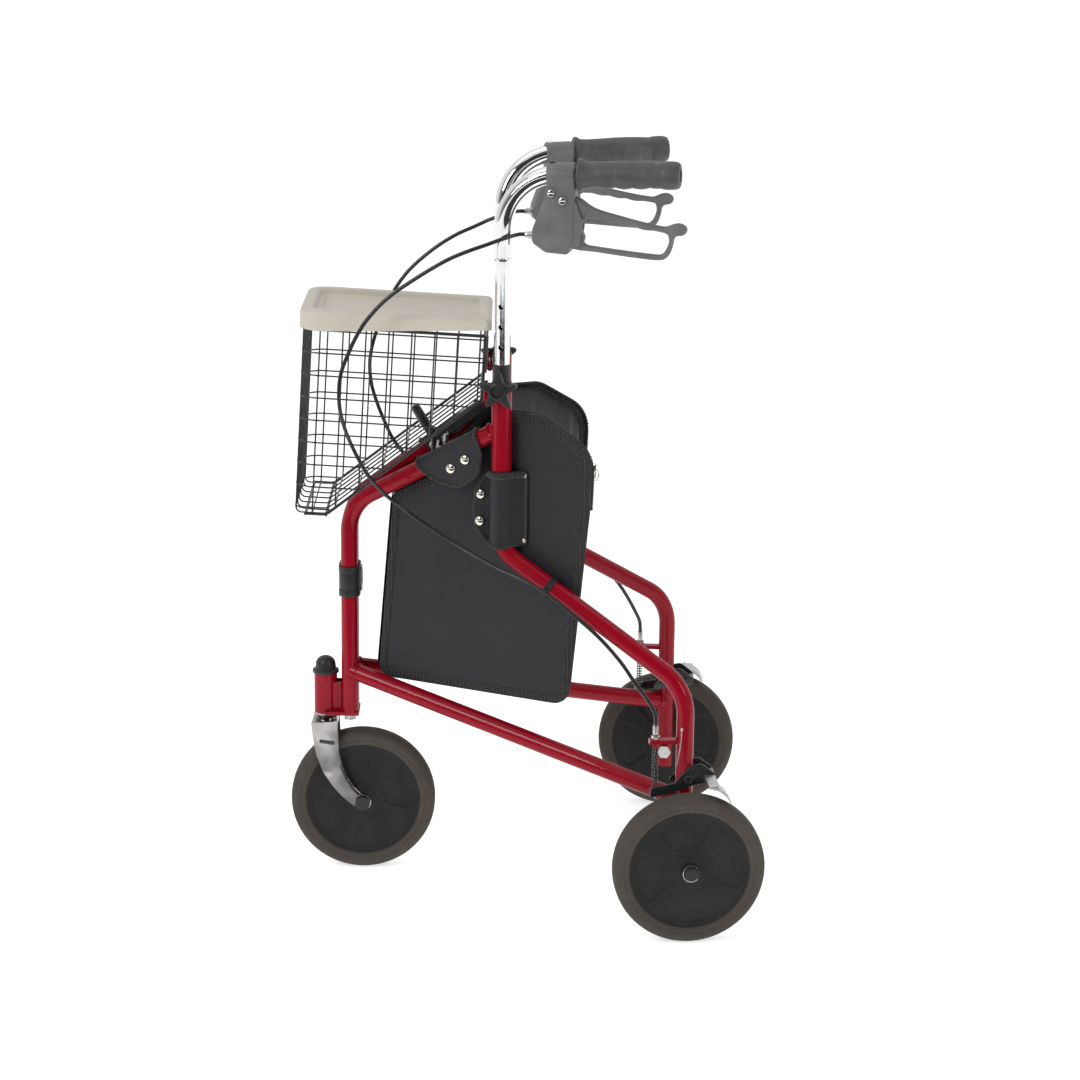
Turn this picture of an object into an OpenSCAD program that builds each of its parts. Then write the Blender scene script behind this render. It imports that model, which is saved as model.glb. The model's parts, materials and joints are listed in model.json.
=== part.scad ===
// Three-wheel folding rollator walker.
// +Z is up, the caster leads towards -Y, the user walks at +Y and the user's left side is +X.
// The origin is on the floor, under the middle of the bounding box. Lengths are in millimetres.

/* [Wheels] */
// Outside diameter of all three wheels
wheel_d = 190; // [180:1:200]
// Width of the tyres
tyre_w = 32; // [28:1:36]
// Diameter of the hub discs that the tyres are moulded on
hub_d = 153; // [140:1:160]
// Outward turn of each rear wheel, in degrees
wheel_toe = 5; // [2:0.5:8]
// Distance from a rear leg's axis to its wheel's mid plane, along the axle
wheel_offset = 51.5; // [48:0.5:60]

/* [Side frames] */
// Half of the V angle between the two side frames, in degrees
splay = 25; // [22:0.5:28]
// Diameter of the bent frame tubes
tube_d = 22; // [20:0.5:24]
// Diameter of the upright handle posts
post_d = 25.4; // [25:0.1:27]
// Wall thickness of the tubes
wall = 1.5; // [1.2:0.1:2]
// Distance from the folding axis to the handle post
post_u = 216; // [205:1:225]
// Distance from the folding axis to the rear leg
leg_u = 471; // [460:1:480]
// Height at which the upper tube would meet the front post if it had no bend
upper_z = 495; // [485:1:505]
// Rise of the upper tube for each millimetre towards the handle post
upper_slope = 0.56; // [0.5:0.01:0.62]
// Top of the red handle post
post_top = 672; // [660:1:680]

/* [Handles] */
// Diameter of the bent chrome handle tube
handle_d = 22.2; // [21:0.1:23]
// Diameter of the drilled shank that slides in the post
shank_d = 19; // [18:0.1:20]
// Height of the handle tube's level stretch
handle_z = 933; // [920:1:945]
// Outward turn of each handle, in degrees
handle_toe = 12; // [8:0.5:16]
// Distance from the post to the end of the grip
grip_end = 219; // [210:1:225]
// Distance between the height adjustment holes
hole_step = 25.4; // [25:0.1:26]

/* [Basket and tray] */
// Width of the wire basket
basket_w = 185; // [175:1:188]
// Depth of the basket from front to back
basket_l = 228; // [215:1:232]
// Height of the basket's front
basket_h = 248; // [230:1:250]
// Backward tilt of the basket and tray, in degrees
basket_tilt = 3; // [2:0.5:4]
// Width of the tray over its lip
tray_w = 197; // [192:1:200]

/* [Bag] */
// Thickness of the bag's side panels
panel_t = 2; // [1.5:0.1:2.4]

/* [Hidden] */
$fn = 48;

// Fits and gaps
running = 0.05;
clear = 0.4;
big = 500;

// Folding axes of the two front posts
hinge_x = 12;
hinge_y = -222;
frame_bottom = 218;
tube_r = tube_d / 2;
post_r = post_d / 2;
shank_r = shank_d / 2;
handle_r = handle_d / 2;
wheel_r = wheel_d / 2;
hub_r = hub_d / 2;
axle_r = 6;

// Places of the handle post and the rear leg in plan
post_x = hinge_x + post_u * sin(splay);
post_y = hinge_y + post_u * cos(splay);
leg_x = hinge_x + leg_u * sin(splay);
leg_y = hinge_y + leg_u * cos(splay);

// Side frame outline: distance from the folding axis, then height
lower_slope = 0.585;
lower_z = 460;
rear_corner_z = lower_z - lower_slope * (leg_u - post_u);
leg_bottom = 72;
rail_front_z = 273;
rail_rear_z = 165;
upper_end_z = upper_z + upper_slope * post_u;
post_bottom = 478;
collar_top = 697;

// Caster
caster_y = -205.6;
head_y = -254.5;
head_r = 15;
head_bottom = 213;
head_top = 266;
stem_r = 6;
pin_bottom = 206.5;
fork_inner = 21;
fork_t = 4;

// Brake arm on the rear leg: place behind the leg axis, then height
arm_pivot = [3, 198];
ferrule_x = -37;
bracket_z = 243;

// Hand lever pivot: distance behind the post, then height
lever_pivot = [76, 904];

// Folding brace
brace_u = 124;
brace_inset = 24;
brace_z = 572;
link_t = 3;
brace_y = hinge_y + brace_u * cos(splay);
brace_x = hinge_x + brace_u * sin(splay) - brace_inset;

// Basket: its lower front corner
basket_y = -287;
basket_z = 501;
basket_t = 1.2;
basket_flat = 40;
basket_rear_z = 160;

// Knob height and its distance outside the post axis
knob_z = 667;
knob_out = 28;
stud_gap = 1.8;

// Routes of the two brake cables, for the left side; the right one is mirrored
cable_d = 5;
left_route = [
    [109, 0.7, 860], [109, -5, 860], [114, -13, 859], [120, -28, 855], [125, -46, 849], [126, -66, 842],
    [126, -90, 832], [126, -115, 818], [126, -140, 802], [126, -160, 788], [126, -178, 772],
    [126, -195, 752], [126, -207, 732], [126, -217, 710], [125, -225, 688], [123, -228, 665],
    [118, -227, 640], [110, -222, 616], [102, -215, 595], [98, -205, 573], [98, -190, 548],
    [86, -172, 525], [79, -150, 506], [82, -126, 489], [94, -91, 468], [110, -58, 452],
    [125, -26, 438], [139, 4, 428], [151, 31, 415], [165, 62, 394], [178, 96, 367],
    [186, 124, 337], [195, 143, 311], [206, 158, 293], [213, 167, 278], [214.3, 168, 265.2]
];
right_route = [
    [109, 0.7, 860], [109, -5, 860], [114, -13, 858], [120, -28, 853], [125, -45, 846], [126, -64, 837],
    [126, -86, 827], [126, -109, 813], [126, -131, 796], [126, -149, 779], [126, -163, 761],
    [126, -175, 741], [126, -185, 719], [126, -193, 695], [125, -199, 672], [122, -201, 650],
    [117, -198, 626], [110, -190, 602], [103, -180, 579], [97, -169, 558], [88, -154, 540],
    [81, -138, 521], [83, -118, 500], [92, -95, 481], [104, -70, 464], [116, -46, 449],
    [127, -22, 438], [139, 4, 428], [151, 31, 415], [163, 60, 399], [172, 88, 384],
    [185, 114, 365], [191, 134, 341], [198, 149, 317], [208, 162, 291], [213, 167, 278], [214.3, 168, 265.2]
];

// ---------------------------------------------------------------- placing

// Left parts are drawn as they are, and right ones are mirrored
module on_side(s) {
    if (s > 0) children();
    else mirror([1, 0, 0]) children();
}

// X along the side frame from the folding axis, -Y outboard
module on_frame(s) {
    on_side(s) translate([hinge_x, hinge_y, 0]) rotate([0, 0, 90 - splay]) children();
}

// X backwards along the handle from the post axis, -Y outboard
module on_post(s) {
    on_side(s) translate([post_x, post_y, 0]) rotate([0, 0, 90 - handle_toe]) children();
}

// X backwards in the wheel's plane from the leg axis, -Y outboard
module on_leg(s) {
    on_side(s) translate([leg_x, leg_y, 0]) rotate([0, 0, 90 + wheel_toe]) children();
}

// Outlines drawn in distance and height are stood upright, t thick about the plane
module upright(t) {
    rotate([90, 0, 0]) linear_extrude(t, center = true) children();
}

// Rod across the upright plane at p = [distance, height], from y0 to y1
module cross_rod(p, r, y0, y1) {
    translate([p[0], y1, p[1]]) rotate([90, 0, 0]) cylinder(h = y1 - y0, r = r);
}

// ---------------------------------------------------------------- bent rods

function unit(v) = v / norm(v);
function turn(a, b, c) =
    let (u = unit(b - a), v = unit(c - b))
    atan2(u[0] * v[1] - u[1] * v[0], u * v);
function fillet_l(p, r, i) = r * tan(abs(turn(p[i - 1], p[i], p[i + 1])) / 2);
function reach(p, r, i) =
    i == len(p) - 1 ? p[i] : p[i] - fillet_l(p, r[i], i) * unit(p[i] - p[i - 1]);

// Straight rod between two points of the upright plane
module rod(a, b, d) {
    translate([a[0], 0, a[1]])
        rotate([0, atan2(b[0] - a[0], b[1] - a[1]), 0]) cylinder(h = norm(b - a), d = d);
}

// Stations along the bent line p with bend radii r: [distance, height, direction]
function heading(a, b) = atan2(b[1] - a[1], b[0] - a[0]);
function bend_stations(p, r, i, step = 10) =
    let (w = turn(p[i - 1], p[i], p[i + 1]),
         n = ceil(abs(w) / step),
         h = heading(p[i - 1], p[i]),
         s = w > 0 ? 1 : -1,
         q = reach(p, r, i),
         c = q + r[i] * s * [-sin(h), cos(h)])
    [for (k = [0 : n]) let (g = h + w * k / n)
        [c[0] + r[i] * s * sin(g), c[1] - r[i] * s * cos(g), g]];
function stations(p, r) = let (n = len(p) - 1) concat(
    [[p[0][0], p[0][1], heading(p[0], p[1])]],
    n < 2 ? [] : [for (i = [1 : n - 1]) each bend_stations(p, r, i)],
    [[p[n][0], p[n][1], heading(p[n - 1], p[n])]]);

// Tube with wall t along points p of the upright plane, with bend radius r[i] at point i
module bent_tube(p, r, d, t, n = 24) {
    st = stations(p, r);
    m = len(st);
    function ring(q, rad) = [for (k = [0 : n - 1]) let (g = 360 * k / n)
        [q[0] - rad * cos(g) * sin(q[2]), rad * sin(g), q[1] + rad * cos(g) * cos(q[2])]];
    polyhedron(
        points = concat([for (q = st) each ring(q, d / 2)], [for (q = st) each ring(q, d / 2 - t)]),
        faces = [for (k = [0 : n - 1]) let (j = (k + 1) % n, in = m * n, end = (m - 1) * n) each concat(
            [for (i = [0 : m - 2]) [i * n + k, i * n + j, i * n + n + j, i * n + n + k]],
            [for (i = [0 : m - 2])
                [in + i * n + k, in + i * n + n + k, in + i * n + n + j, in + i * n + j]],
            [[k, in + k, in + j, j]],
            [[end + k, end + j, in + end + j, in + end + k]])]);
}

// Closed outline with round corners: each corner is [x, y, radius]
function corner_arc(a, b, c, n = 6) =
    let (p = [[a[0], a[1]], [b[0], b[1]], [c[0], c[1]]],
         w = turn(p[0], p[1], p[2]),
         t = b[2] * tan(abs(w) / 2),
         s = w > 0 ? 1 : -1,
         u = unit(p[1] - p[0]),
         q = p[1] - t * u,
         o = q + b[2] * s * [-u[1], u[0]],
         v = q - o)
    b[2] == 0 ? [p[1]] :
    [for (k = [0 : n]) let (g = w * k / n)
        o + [v[0] * cos(g) - v[1] * sin(g), v[0] * sin(g) + v[1] * cos(g)]];
function rounded(c) =
    let (n = len(c))
    [for (i = [0 : n - 1]) each corner_arc(c[(i + n - 1) % n], c[i], c[(i + 1) % n])];

// ---------------------------------------------------------------- swept cables

function tangent(p, i) =
    unit(p[min(i + 1, len(p) - 1)] - p[max(i - 1, 0)]);
// Catmull-Rom point between p[i] and p[i + 1]
function between(p, i, t) =
    let (a = p[max(i - 1, 0)], b = p[i], c = p[i + 1], d = p[min(i + 2, len(p) - 1)])
    0.5 * (2 * b + (c - a) * t + (2 * a - 5 * b + 4 * c - d) * t * t
        + (3 * b - a - 3 * c + d) * t * t * t);
function smooth(p) = concat(
    [for (i = [0 : len(p) - 2]) each [p[i], between(p, i, 0.5)]], [p[len(p) - 1]]);

// Tube of n sides along the points p
module sweep(p, d, n = 8) {
    rings = [for (i = [0 : len(p) - 1])
        let (t = tangent(p, i), a = unit(cross(t, [1, 0.2, 0.1])), b = cross(t, a))
        [for (k = [0 : n - 1]) p[i] + d / 2 * (a * cos(360 * k / n) + b * sin(360 * k / n))]];
    last = len(p) - 1;
    polyhedron(
        points = [for (ring = rings) each ring],
        faces = concat(
            [[for (k = [n - 1 : -1 : 0]) k]],
            [for (i = [0 : last - 1]) for (k = [0 : n - 1])
                [i * n + k, i * n + (k + 1) % n, (i + 1) * n + (k + 1) % n, (i + 1) * n + k]],
            [[for (k = [0 : n - 1]) last * n + k]]));
}

// ---------------------------------------------------------------- wheels

// Wheel parts are drawn about the Z axis, then laid on their axle
module tyre_ring() {
    edge = 9;
    w = tyre_w / 2;
    rotate_extrude($fn = 96) polygon(concat(
        [[hub_r - 6, w - 4], [hub_r - 6, 4 - w], [hub_r, 1 - w], [hub_r + 3, -w]],
        [for (g = [-90 : 15 : 0]) [wheel_r - edge + edge * cos(g), edge - w + edge * sin(g)]],
        [for (g = [0 : 15 : 90]) [wheel_r - edge + edge * cos(g), w - edge + edge * sin(g)]],
        [[hub_r + 3, w], [hub_r, w - 1]]));
}

module hub_disc() {
    w = tyre_w / 2;
    pocket_in = 27;
    pocket_out = 62;
    spoke = 26;
    difference() {
        rotate_extrude($fn = 96) polygon([
            [axle_r + running, -w - 3], [16, -w - 3], [18, -w + 2], [hub_r - 8, -w + 3],
            [hub_r - 2, 1.5 - w], [hub_r, 1 - w], [hub_r - 6, 4 - w],
            [hub_r - 6, w - 4], [hub_r, w - 1], [hub_r - 2, w - 1.5],
            [hub_r - 8, w - 3], [18, w - 2], [16, w + 3], [axle_r + running, w + 3]]);
        for (side = [-1, 1]) for (k = [0 : 3])
            rotate([0, 0, 90 * k + spoke / 2 + 45])
                rotate_extrude(angle = 90 - spoke, $fn = 96)
                    translate([pocket_in, side > 0 ? w - 7 : 3 - w]) square([pocket_out - pocket_in, 4]);
    }
}

module on_rear_axle(s) {
    on_leg(s) translate([0, -wheel_offset, wheel_r]) rotate([90, 0, 0]) children();
}

module on_caster_axle() {
    translate([0, caster_y, wheel_r]) rotate([0, 90, 0]) children();
}

module tyre(s) { color("#6b645d") on_rear_axle(s) tyre_ring(); }
module hub(s) { color("#3a3939") on_rear_axle(s) hub_disc(); }
module caster_tyre() { color("#6b645d") on_caster_axle() tyre_ring(); }
module caster_hub() { color("#3a3939") on_caster_axle() hub_disc(); }

// Rear axle: bolt through the leg, spacer, retaining ring and black cap
module axle(s) {
    boss = tyre_w / 2 + 3;
    color("#b9bcc0") on_rear_axle(s) {
        translate([0, 0, -wheel_offset - tube_r - 6])
            cylinder(h = wheel_offset + tube_r + boss + 9, r = axle_r);
        difference() {
            translate([0, 0, tube_r - wheel_offset])
                cylinder(h = wheel_offset - boss - tube_r - clear, r = 10);
            translate([0, 0, -wheel_offset]) rotate([90, 0, 0]) cylinder(h = 60, r = tube_r, center = true);
        }
        translate([0, 0, boss + clear]) cylinder(h = 5, r = 10.5);
        translate([0, 0, boss + clear]) cylinder(h = 9, r = 8.5);
        translate([0, 0, -wheel_offset - tube_r - 6]) cylinder(h = 5.5, r = 9.5, $fn = 6);
    }
}

// ---------------------------------------------------------------- side frame

upper_path = [[0, frame_bottom], [0, upper_z], [post_u, upper_end_z]];
rear_path = [[post_u, post_bottom + 20], [post_u, lower_z], [leg_u, rear_corner_z], [leg_u, leg_bottom]];

module front_tube(s) {
    color("#a5122a") on_frame(s) difference() {
        bent_tube(upper_path, [0, 60, 0], tube_d, wall);
        translate([post_u, 0, upper_end_z - 60]) cylinder(h = 120, r = post_r);
    }
}

// Upright post with the hook that carries the basket
module handle_post(s) {
    hook_r = 3;
    hook = [post_r + 7.5, 656];
    color("#a5122a") on_frame(s) difference() {
        union() {
            translate([post_u, 0, post_bottom]) cylinder(h = post_top - post_bottom, r = post_r);
            translate([post_u, 0, hook[1]]) rotate([0, -90, splay]) cylinder(h = hook[0], r = hook_r - 0.5);
            translate([post_u, 0, hook[1] - 4]) rotate([0, 0, splay]) translate([-hook[0], 0, 0])
                cylinder(h = 24, r = hook_r);
        }
        translate([post_u, 0, post_bottom - 1]) cylinder(h = big, r = post_r - wall);
        translate([post_u, 0, 0]) rotate([0, 0, splay - handle_toe])
            cross_rod([0, knob_z], 4, -big, 0);
    }
}

// Lower diagonal and rear leg in one bent tube
module rear_tube(s) {
    color("#a5122a") on_frame(s) difference() {
        bent_tube(rear_path, [0, 38, 60, 0], tube_d, wall);
        translate([leg_u, 0, 0]) rotate([0, 0, splay + wheel_toe]) {
            cross_rod([0, wheel_r], axle_r, -50, 50);
            cross_rod(arm_pivot, 3.5, -50, 50);
        }
    }
}

module lower_rail(s) {
    color("#a5122a") on_frame(s) difference() {
        bent_tube([[0, rail_front_z], [leg_u, rail_rear_z]], [0, 0], tube_d, wall);
        translate([0, 0, frame_bottom]) cylinder(h = 120, r = tube_r);
        translate([leg_u, 0, 100]) cylinder(h = 120, r = tube_r);
    }
}

// Steel bush pressed in the foot of the front post, which turns on the bracket's pin
module hinge_bush(s) {
    color("#8f9295") on_frame(s) translate([0, 0, frame_bottom]) difference() {
        cylinder(h = 60, r = tube_r - wall - 0.1);
        translate([0, 0, -1]) cylinder(h = 62, r = 5 + running);
    }
}

// Black plastic collar in the top of the post, with the nut boss of the knob
module post_collar(s) {
    color("#1d1d1f") on_post(s) difference() {
        union() {
            translate([0, 0, post_top]) cylinder(h = collar_top - post_top, r = 10.9);
            translate([0, 0, post_top]) cylinder(h = 3, r = post_r);
            translate([0, 0, 640]) cylinder(h = post_top - 640, r = post_r - wall);
        }
        translate([0, 0, 600]) cylinder(h = 200, r = shank_r + running);
        cross_rod([0, knob_z], 3.5, -big, 0);
    }
}

// Star knob: five lobes, a boss and the stud that clamps the shank
module star_knob(s) {
    lobe_r = 18;
    color("#232325") on_post(s) translate([0, 0, knob_z]) rotate([90, 0, 0]) {
        translate([0, 0, shank_r + stud_gap]) cylinder(h = knob_out - shank_r - stud_gap, r = 3);
        translate([0, 0, post_r + 1]) cylinder(h = knob_out - post_r, r = 11);
        for (k = [0 : 4]) rotate([0, 0, 72 * k + 18]) translate([lobe_r, 0, post_r + 4]) {
            cylinder(h = 9, r = 6.5);
            translate([-lobe_r, -4.5, 0]) cube([lobe_r, 9, 9]);
        }
        translate([0, 0, knob_out]) cylinder(h = 3, r1 = 11, r2 = 9);
    }
}

// Stub ahead of the leg that holds the cable's ferrule
module cable_bracket(s) {
    color("#a5122a") on_leg(s) {
        difference() {
            translate([ferrule_x - 8, -6, bracket_z - 2.5]) cube([-ferrule_x + 8, 12, 5]);
            translate([0, 0, 200]) cylinder(h = 80, r = tube_r);
            translate([ferrule_x, 0, 200]) cylinder(h = 80, r = 3.2);
        }
        difference() {
            translate([ferrule_x, 0, bracket_z - 8]) cylinder(h = 30, r = 3.2);
            translate([ferrule_x, 0, 200]) cylinder(h = 100, r = 1);
        }
        translate([ferrule_x, 0, bracket_z + 2.5]) difference() {
            cylinder(h = 6, r = 5, $fn = 6);
            translate([0, 0, -1]) cylinder(h = 8, r = 3.2);
        }
    }
}

// ---------------------------------------------------------------- rear brake

cheek_in = tube_r + 1;
cheek_t = 2;

// Stamped channel over the leg: two cheeks, a front nose, a rear web and its pivot bolt.
// The inboard cheek is short, because the lower rail meets the leg there.
module brake_arm(s) {
    rear = [
        [arm_pivot[0] + 2, 213, 8], [arm_pivot[0] + 16, 216, 8], [38, 204, 4], [38, 194, 4], [8, 188, 10]];
    long = concat([[-16, 179, 10], [ferrule_x - 8, 173, 3], [ferrule_x - 6, 186, 3], [-14, 192, 10]], rear);
    short = concat([[-20, 184, 3], [-14, 193, 6]], rear);
    color("#1f1f21") on_leg(s) {
        for (side = [-1, 1]) translate([0, side * (cheek_in + cheek_t / 2), 0]) difference() {
            upright(cheek_t) polygon(rounded(side < 0 ? long : short));
            cross_rod(arm_pivot, 3, -5, 5);
        }
        difference() {
            translate([ferrule_x - 6, -cheek_in, 174]) cube([14, cheek_in + 3.5, 8]);
            translate([ferrule_x, 0, 160]) cylinder(h = 40, r = 1.5);
        }
        translate([26, -cheek_in, 196]) cube([10, 2 * cheek_in, 4]);
        cross_rod(arm_pivot, 3, -cheek_in - 4.5, cheek_in + 4.5);
        for (side = [-1, 1]) let (y = side * (cheek_in + 3.5)) cross_rod(arm_pivot, 6, y - 1.5, y + 1.5);
    }
}

// Bent steel shoe that presses on the tyre
module brake_shoe(s) {
    color("#9a9da1") on_leg(s) {
        translate([0, -wheel_offset, 0]) upright(26) polygon([
            [24, 196], [34, 192], [45, 184], [47, 186.5], [36, 195.5], [28, 199]]);
        translate([26, -wheel_offset, 195.5]) cube([8, wheel_offset - cheek_in - cheek_t, 3]);
    }
}

module brake_spring(s) {
    color("#2b2b2d") on_leg(s) translate([ferrule_x, 0, 182.5]) difference() {
        cylinder(h = bracket_z - 8.5 - 182.5, r = 4);
        translate([0, 0, -1]) cylinder(h = 80, r = 2.6);
    }
}

// ---------------------------------------------------------------- handle

bend_r = 70;
level_z0 = handle_z + 5;
shank_top = 829;
shank_bottom = 612;
// Point on the handle tube's level stretch, x behind the post
function level_at(x) = [x, handle_z + x * (level_z0 - handle_z) / (grip_end - 8)];

// Bent handle tube with its drilled shank
module handle_tube(s) {
    color("#d8dadd") on_post(s) {
        bent_tube([[0, shank_top], [0, handle_z], [grip_end - 8, level_z0]], [0, bend_r, 0], handle_d, wall);
        difference() {
            union() {
                translate([0, 0, shank_bottom]) cylinder(h = shank_top - shank_bottom, r = shank_r);
                translate([0, 0, shank_top - 3]) cylinder(h = 7, r = handle_r - 0.5);
            }
            translate([0, 0, shank_bottom - 1]) cylinder(h = big, r = shank_r - wall);
            for (k = [0 : 4]) cross_rod([0, 719 - 2 * hole_step + k * hole_step], 3.4, -20, 20);
        }
    }
}

// Brake housing: body clamped on the tube, slotted for the lever
module brake_housing(s) {
    outline = rounded([
        [56, 947, 5], [54, 905, 8], [38, 868, 6], [38, 852, 8], [56, 838, 10], [84, 838, 5],
        [90, 858, 20], [92, 948, 4]]);
    slot = 6;
    color("#222224") on_post(s) {
        difference() {
            upright(26) polygon(outline);
            rod(level_at(bend_r - 4), level_at(grip_end), handle_d);
            rod(level_at(30) - [0, 3], level_at(bend_r) - [0, 0.5], handle_d + 2.5);
            translate([55, -slot, 846]) cube([60, 2 * slot, 73]);
            cross_rod(lever_pivot, 3, -big, big);
        }
        translate([60, 0, 946]) cylinder(h = 6, r = 5);
        translate([28, 0, 860]) rotate([0, 90, 0]) cylinder(h = 10, r = 4);
    }
}

// Rubber grip moulded round the handle's end
module grip(s) {
    rise = atan2(level_z0 - handle_z, grip_end - 8);
    start = 93;
    color("#1c1c1e") on_post(s) difference() {
        translate([start, 0, handle_z + start * tan(rise)]) rotate([0, 90 - rise, 0])
            rotate_extrude() polygon([
                [0, 0], [20, 0], [20.5, 3], [19.5, 6], [16.5, 9], [16.2, 30], [17.4, 60], [17, 95],
                [15.6, 112], [16.2, 120], [14.5, grip_end - start], [0, grip_end - start]]);
        rod(level_at(bend_r), level_at(grip_end - 8), handle_d);
    }
}

// Loop lever with a scalloped upper bar and a thumb hook
module hand_lever(s) {
    outer = rounded([
        [62, 912, 6], [88, 912, 6], [100, 904, 12], [118, 893, 12], [148, 885, 20], [196, 878, 14],
        [212, 878, 6], [226, 877, 3], [228, 868, 3], [215, 864, 5], [211, 846, 6], [202, 835, 8],
        [168, 835, 20], [120, 841, 20], [62, 850, 4]]);
    loop = rounded([
        [100, 856, 8], [98, 882, 8], [107, 892, 8], [120, 884, 12], [150, 877, 20], [196, 869, 8],
        [204, 862, 5], [201, 845, 5], [168, 843, 20], [120, 849, 20]]);
    color("#1f1f21") on_post(s) difference() {
        upright(10) polygon(outer);
        upright(20) polygon(loop);
        cross_rod(lever_pivot, 3 + running, -20, 20);
    }
}

// Chrome pins through the housing: the lever pivot and the cable stop screw
module lever_pin(s) {
    color("#d0d2d5") on_post(s) {
        cross_rod(lever_pivot, 3, -13, 13);
        for (p = [lever_pivot, [62, 913]]) {
            cross_rod(p, 4.5, -15, -13);
            cross_rod(p, 4.5, 13, 15);
        }
    }
}

module brake_cable(s, route) {
    color("#151517") on_side(s) sweep(smooth(route), cable_d);
}

// ---------------------------------------------------------------- hinge bracket and caster

// Head tube with the yoke plate under the two front posts
module hinge_bracket() {
    color("#a5122a") {
        difference() {
            translate([0, head_y, head_bottom]) cylinder(h = head_top - head_bottom, r = head_r);
            translate([0, head_y, head_bottom - 1]) cylinder(h = 100, r = head_r - 2);
        }
        difference() {
            translate([-22, head_y, head_bottom])
                cube([44, hinge_y - head_y + 12, frame_bottom - head_bottom - clear]);
            translate([0, head_y, 200]) cylinder(h = 100, r = head_r - 1);
            for (x = [-hinge_x, hinge_x]) translate([x, hinge_y, 200]) cylinder(h = 100, r = 5);
        }
        for (x = [-11, 8]) difference() {
            translate([x, head_y, head_bottom]) cube([3, -head_y + hinge_y - tube_r - 1, 42]);
            translate([0, head_y, 200]) cylinder(h = 100, r = head_r - 1);
        }
    }
}

module head_cap() {
    color("#202022") translate([0, head_y, head_top]) {
        cylinder(h = 5, r = 17);
        translate([0, 0, 5]) cylinder(h = 9, r1 = 14, r2 = 12.5);
        translate([0, 0, 14]) intersection() {
            sphere(r = 12.5);
            cylinder(h = 10, r = 13);
        }
    }
}

module hinge_pins() {
    color("#b9bcc0") for (x = [-hinge_x, hinge_x]) translate([x, hinge_y, pin_bottom])
        cylinder(h = 69, r = 5);
}

module hinge_nuts() {
    color("#c9ccd0") for (x = [-hinge_x, hinge_x]) translate([x, hinge_y, pin_bottom]) difference() {
        cylinder(h = head_bottom - pin_bottom, r = 8.5, $fn = 6);
        translate([0, 0, -1]) cylinder(h = 20, r = 5);
    }
}

// Two sealed bearing cartridges in the head tube
module head_bearings() {
    color("#777a7e") for (z = [head_bottom, head_top - 10]) translate([0, head_y, z]) difference() {
        cylinder(h = 10, r = head_r - 2);
        translate([0, 0, -1]) cylinder(h = 12, r = stem_r + running);
    }
}

// Black double collar that keeps the front posts together, with its buckle
module post_strap() {
    z0 = 374;
    h = 40;
    color("#1b1b1d") translate([0, hinge_y, z0]) difference() {
        hull() for (x = [-hinge_x, hinge_x]) translate([x, 0, 0]) cylinder(h = h, r = 13.6, $fn = 32);
        for (x = [-hinge_x, hinge_x]) translate([x, 0, -1]) cylinder(h = h + 2, r = tube_r + clear);
    }
    color("#b9bcc0") translate([-9, hinge_y + 13.6, z0 + 6]) cube([18, 3, h - 12]);
}

// Two curved blades that hang from the crown, with the stem above it
fork_side = [
    [-273, 205], [-271, 186], [-268, 165], [-261, 143], [-250, 122], [-238, 105], [-224, 93],
    [-208, 84], [-196, 84], [-192, 95], [-196, 104], [-211, 111], [-222, 126], [-229, 142],
    [-234, 160], [-237, 180], [-238, 205]];

module caster_fork() {
    color("#d8dadd") {
        for (side = [-1, 1]) difference() {
            translate([side * (fork_inner + fork_t / 2), 0, 0]) rotate([90, 0, 90])
                linear_extrude(fork_t, center = true) polygon(fork_side);
            on_caster_axle() cylinder(h = 100, r = axle_r, center = true);
        }
        translate([-fork_inner, -273, 195]) cube([2 * fork_inner, 35, 10]);
        translate([0, head_y, 205]) cylinder(h = 3, r = 14);
        translate([0, head_y, 208]) cylinder(h = head_bottom - clear - 208, r = 11);
        translate([0, head_y, 205]) cylinder(h = head_top - 207, r = stem_r);
    }
}

module caster_axle() {
    boss = tyre_w / 2 + 3;
    color("#232325") on_caster_axle() {
        cylinder(h = 2 * (fork_inner + fork_t + 2), r = axle_r, center = true);
        for (side = [-1, 1]) translate([0, 0, side * (fork_inner + fork_t + 4)])
            cylinder(h = 8, r = 9.5, center = true);
        for (side = [-1, 1]) translate([0, 0, side * (boss + fork_inner) / 2])
            difference() {
                cylinder(h = fork_inner - boss - clear, r = 9, center = true);
                cylinder(h = 20, r = axle_r, center = true);
            }
    }
}

// ---------------------------------------------------------------- folding brace

// The left link lies in front of the right one, so that they pass each other
module on_brace(s) {
    on_side(s) translate([brace_x, brace_y + (s > 0 ? 0 : 8), brace_z]) children();
}

// Plate welded to the upper tube, with the pin that the link turns on
module brace_bracket(s) {
    color("#b4b7bb") difference() {
        on_brace(s) {
            translate([-6, link_t + clear, -7]) cube([brace_inset, 3, 13]);
            cross_rod([0, 0], 3, -2, link_t + clear);
        }
        on_frame(s) rod([60, upper_z + 60 * upper_slope], [200, upper_z + 200 * upper_slope], tube_d);
    }
}

module brace_link(s) {
    color("#b4b7bb") on_brace(s) difference() {
        union() {
            for (x = [0, -brace_x]) translate([x, link_t, 0]) rotate([90, 0, 0]) cylinder(h = link_t, r = 6);
            translate([-brace_x, 0, -5]) cube([brace_x, link_t, 10]);
        }
        cross_rod([0, 0], 3 + running, -1, 9);
        cross_rod([-brace_x, 0], s > 0 ? 3 + running : 4.5, -1, 9);
    }
}

// Release lever on the brace's middle: plate, pin and sleeved handle
module fold_release() {
    color("#1b1b1d") translate([0, brace_y, brace_z]) {
        translate([-8, -4.5, -8]) cube([16, 4, 20]);
        cross_rod([0, 0], 3, -1, link_t);
        difference() {
            translate([0, -2.5, 10]) rotate([32, 0, 0]) cylinder(h = 50, r = 5);
            translate([-10, -0.5, 0]) cube(20);
        }
    }
}

// ---------------------------------------------------------------- basket and tray

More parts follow.
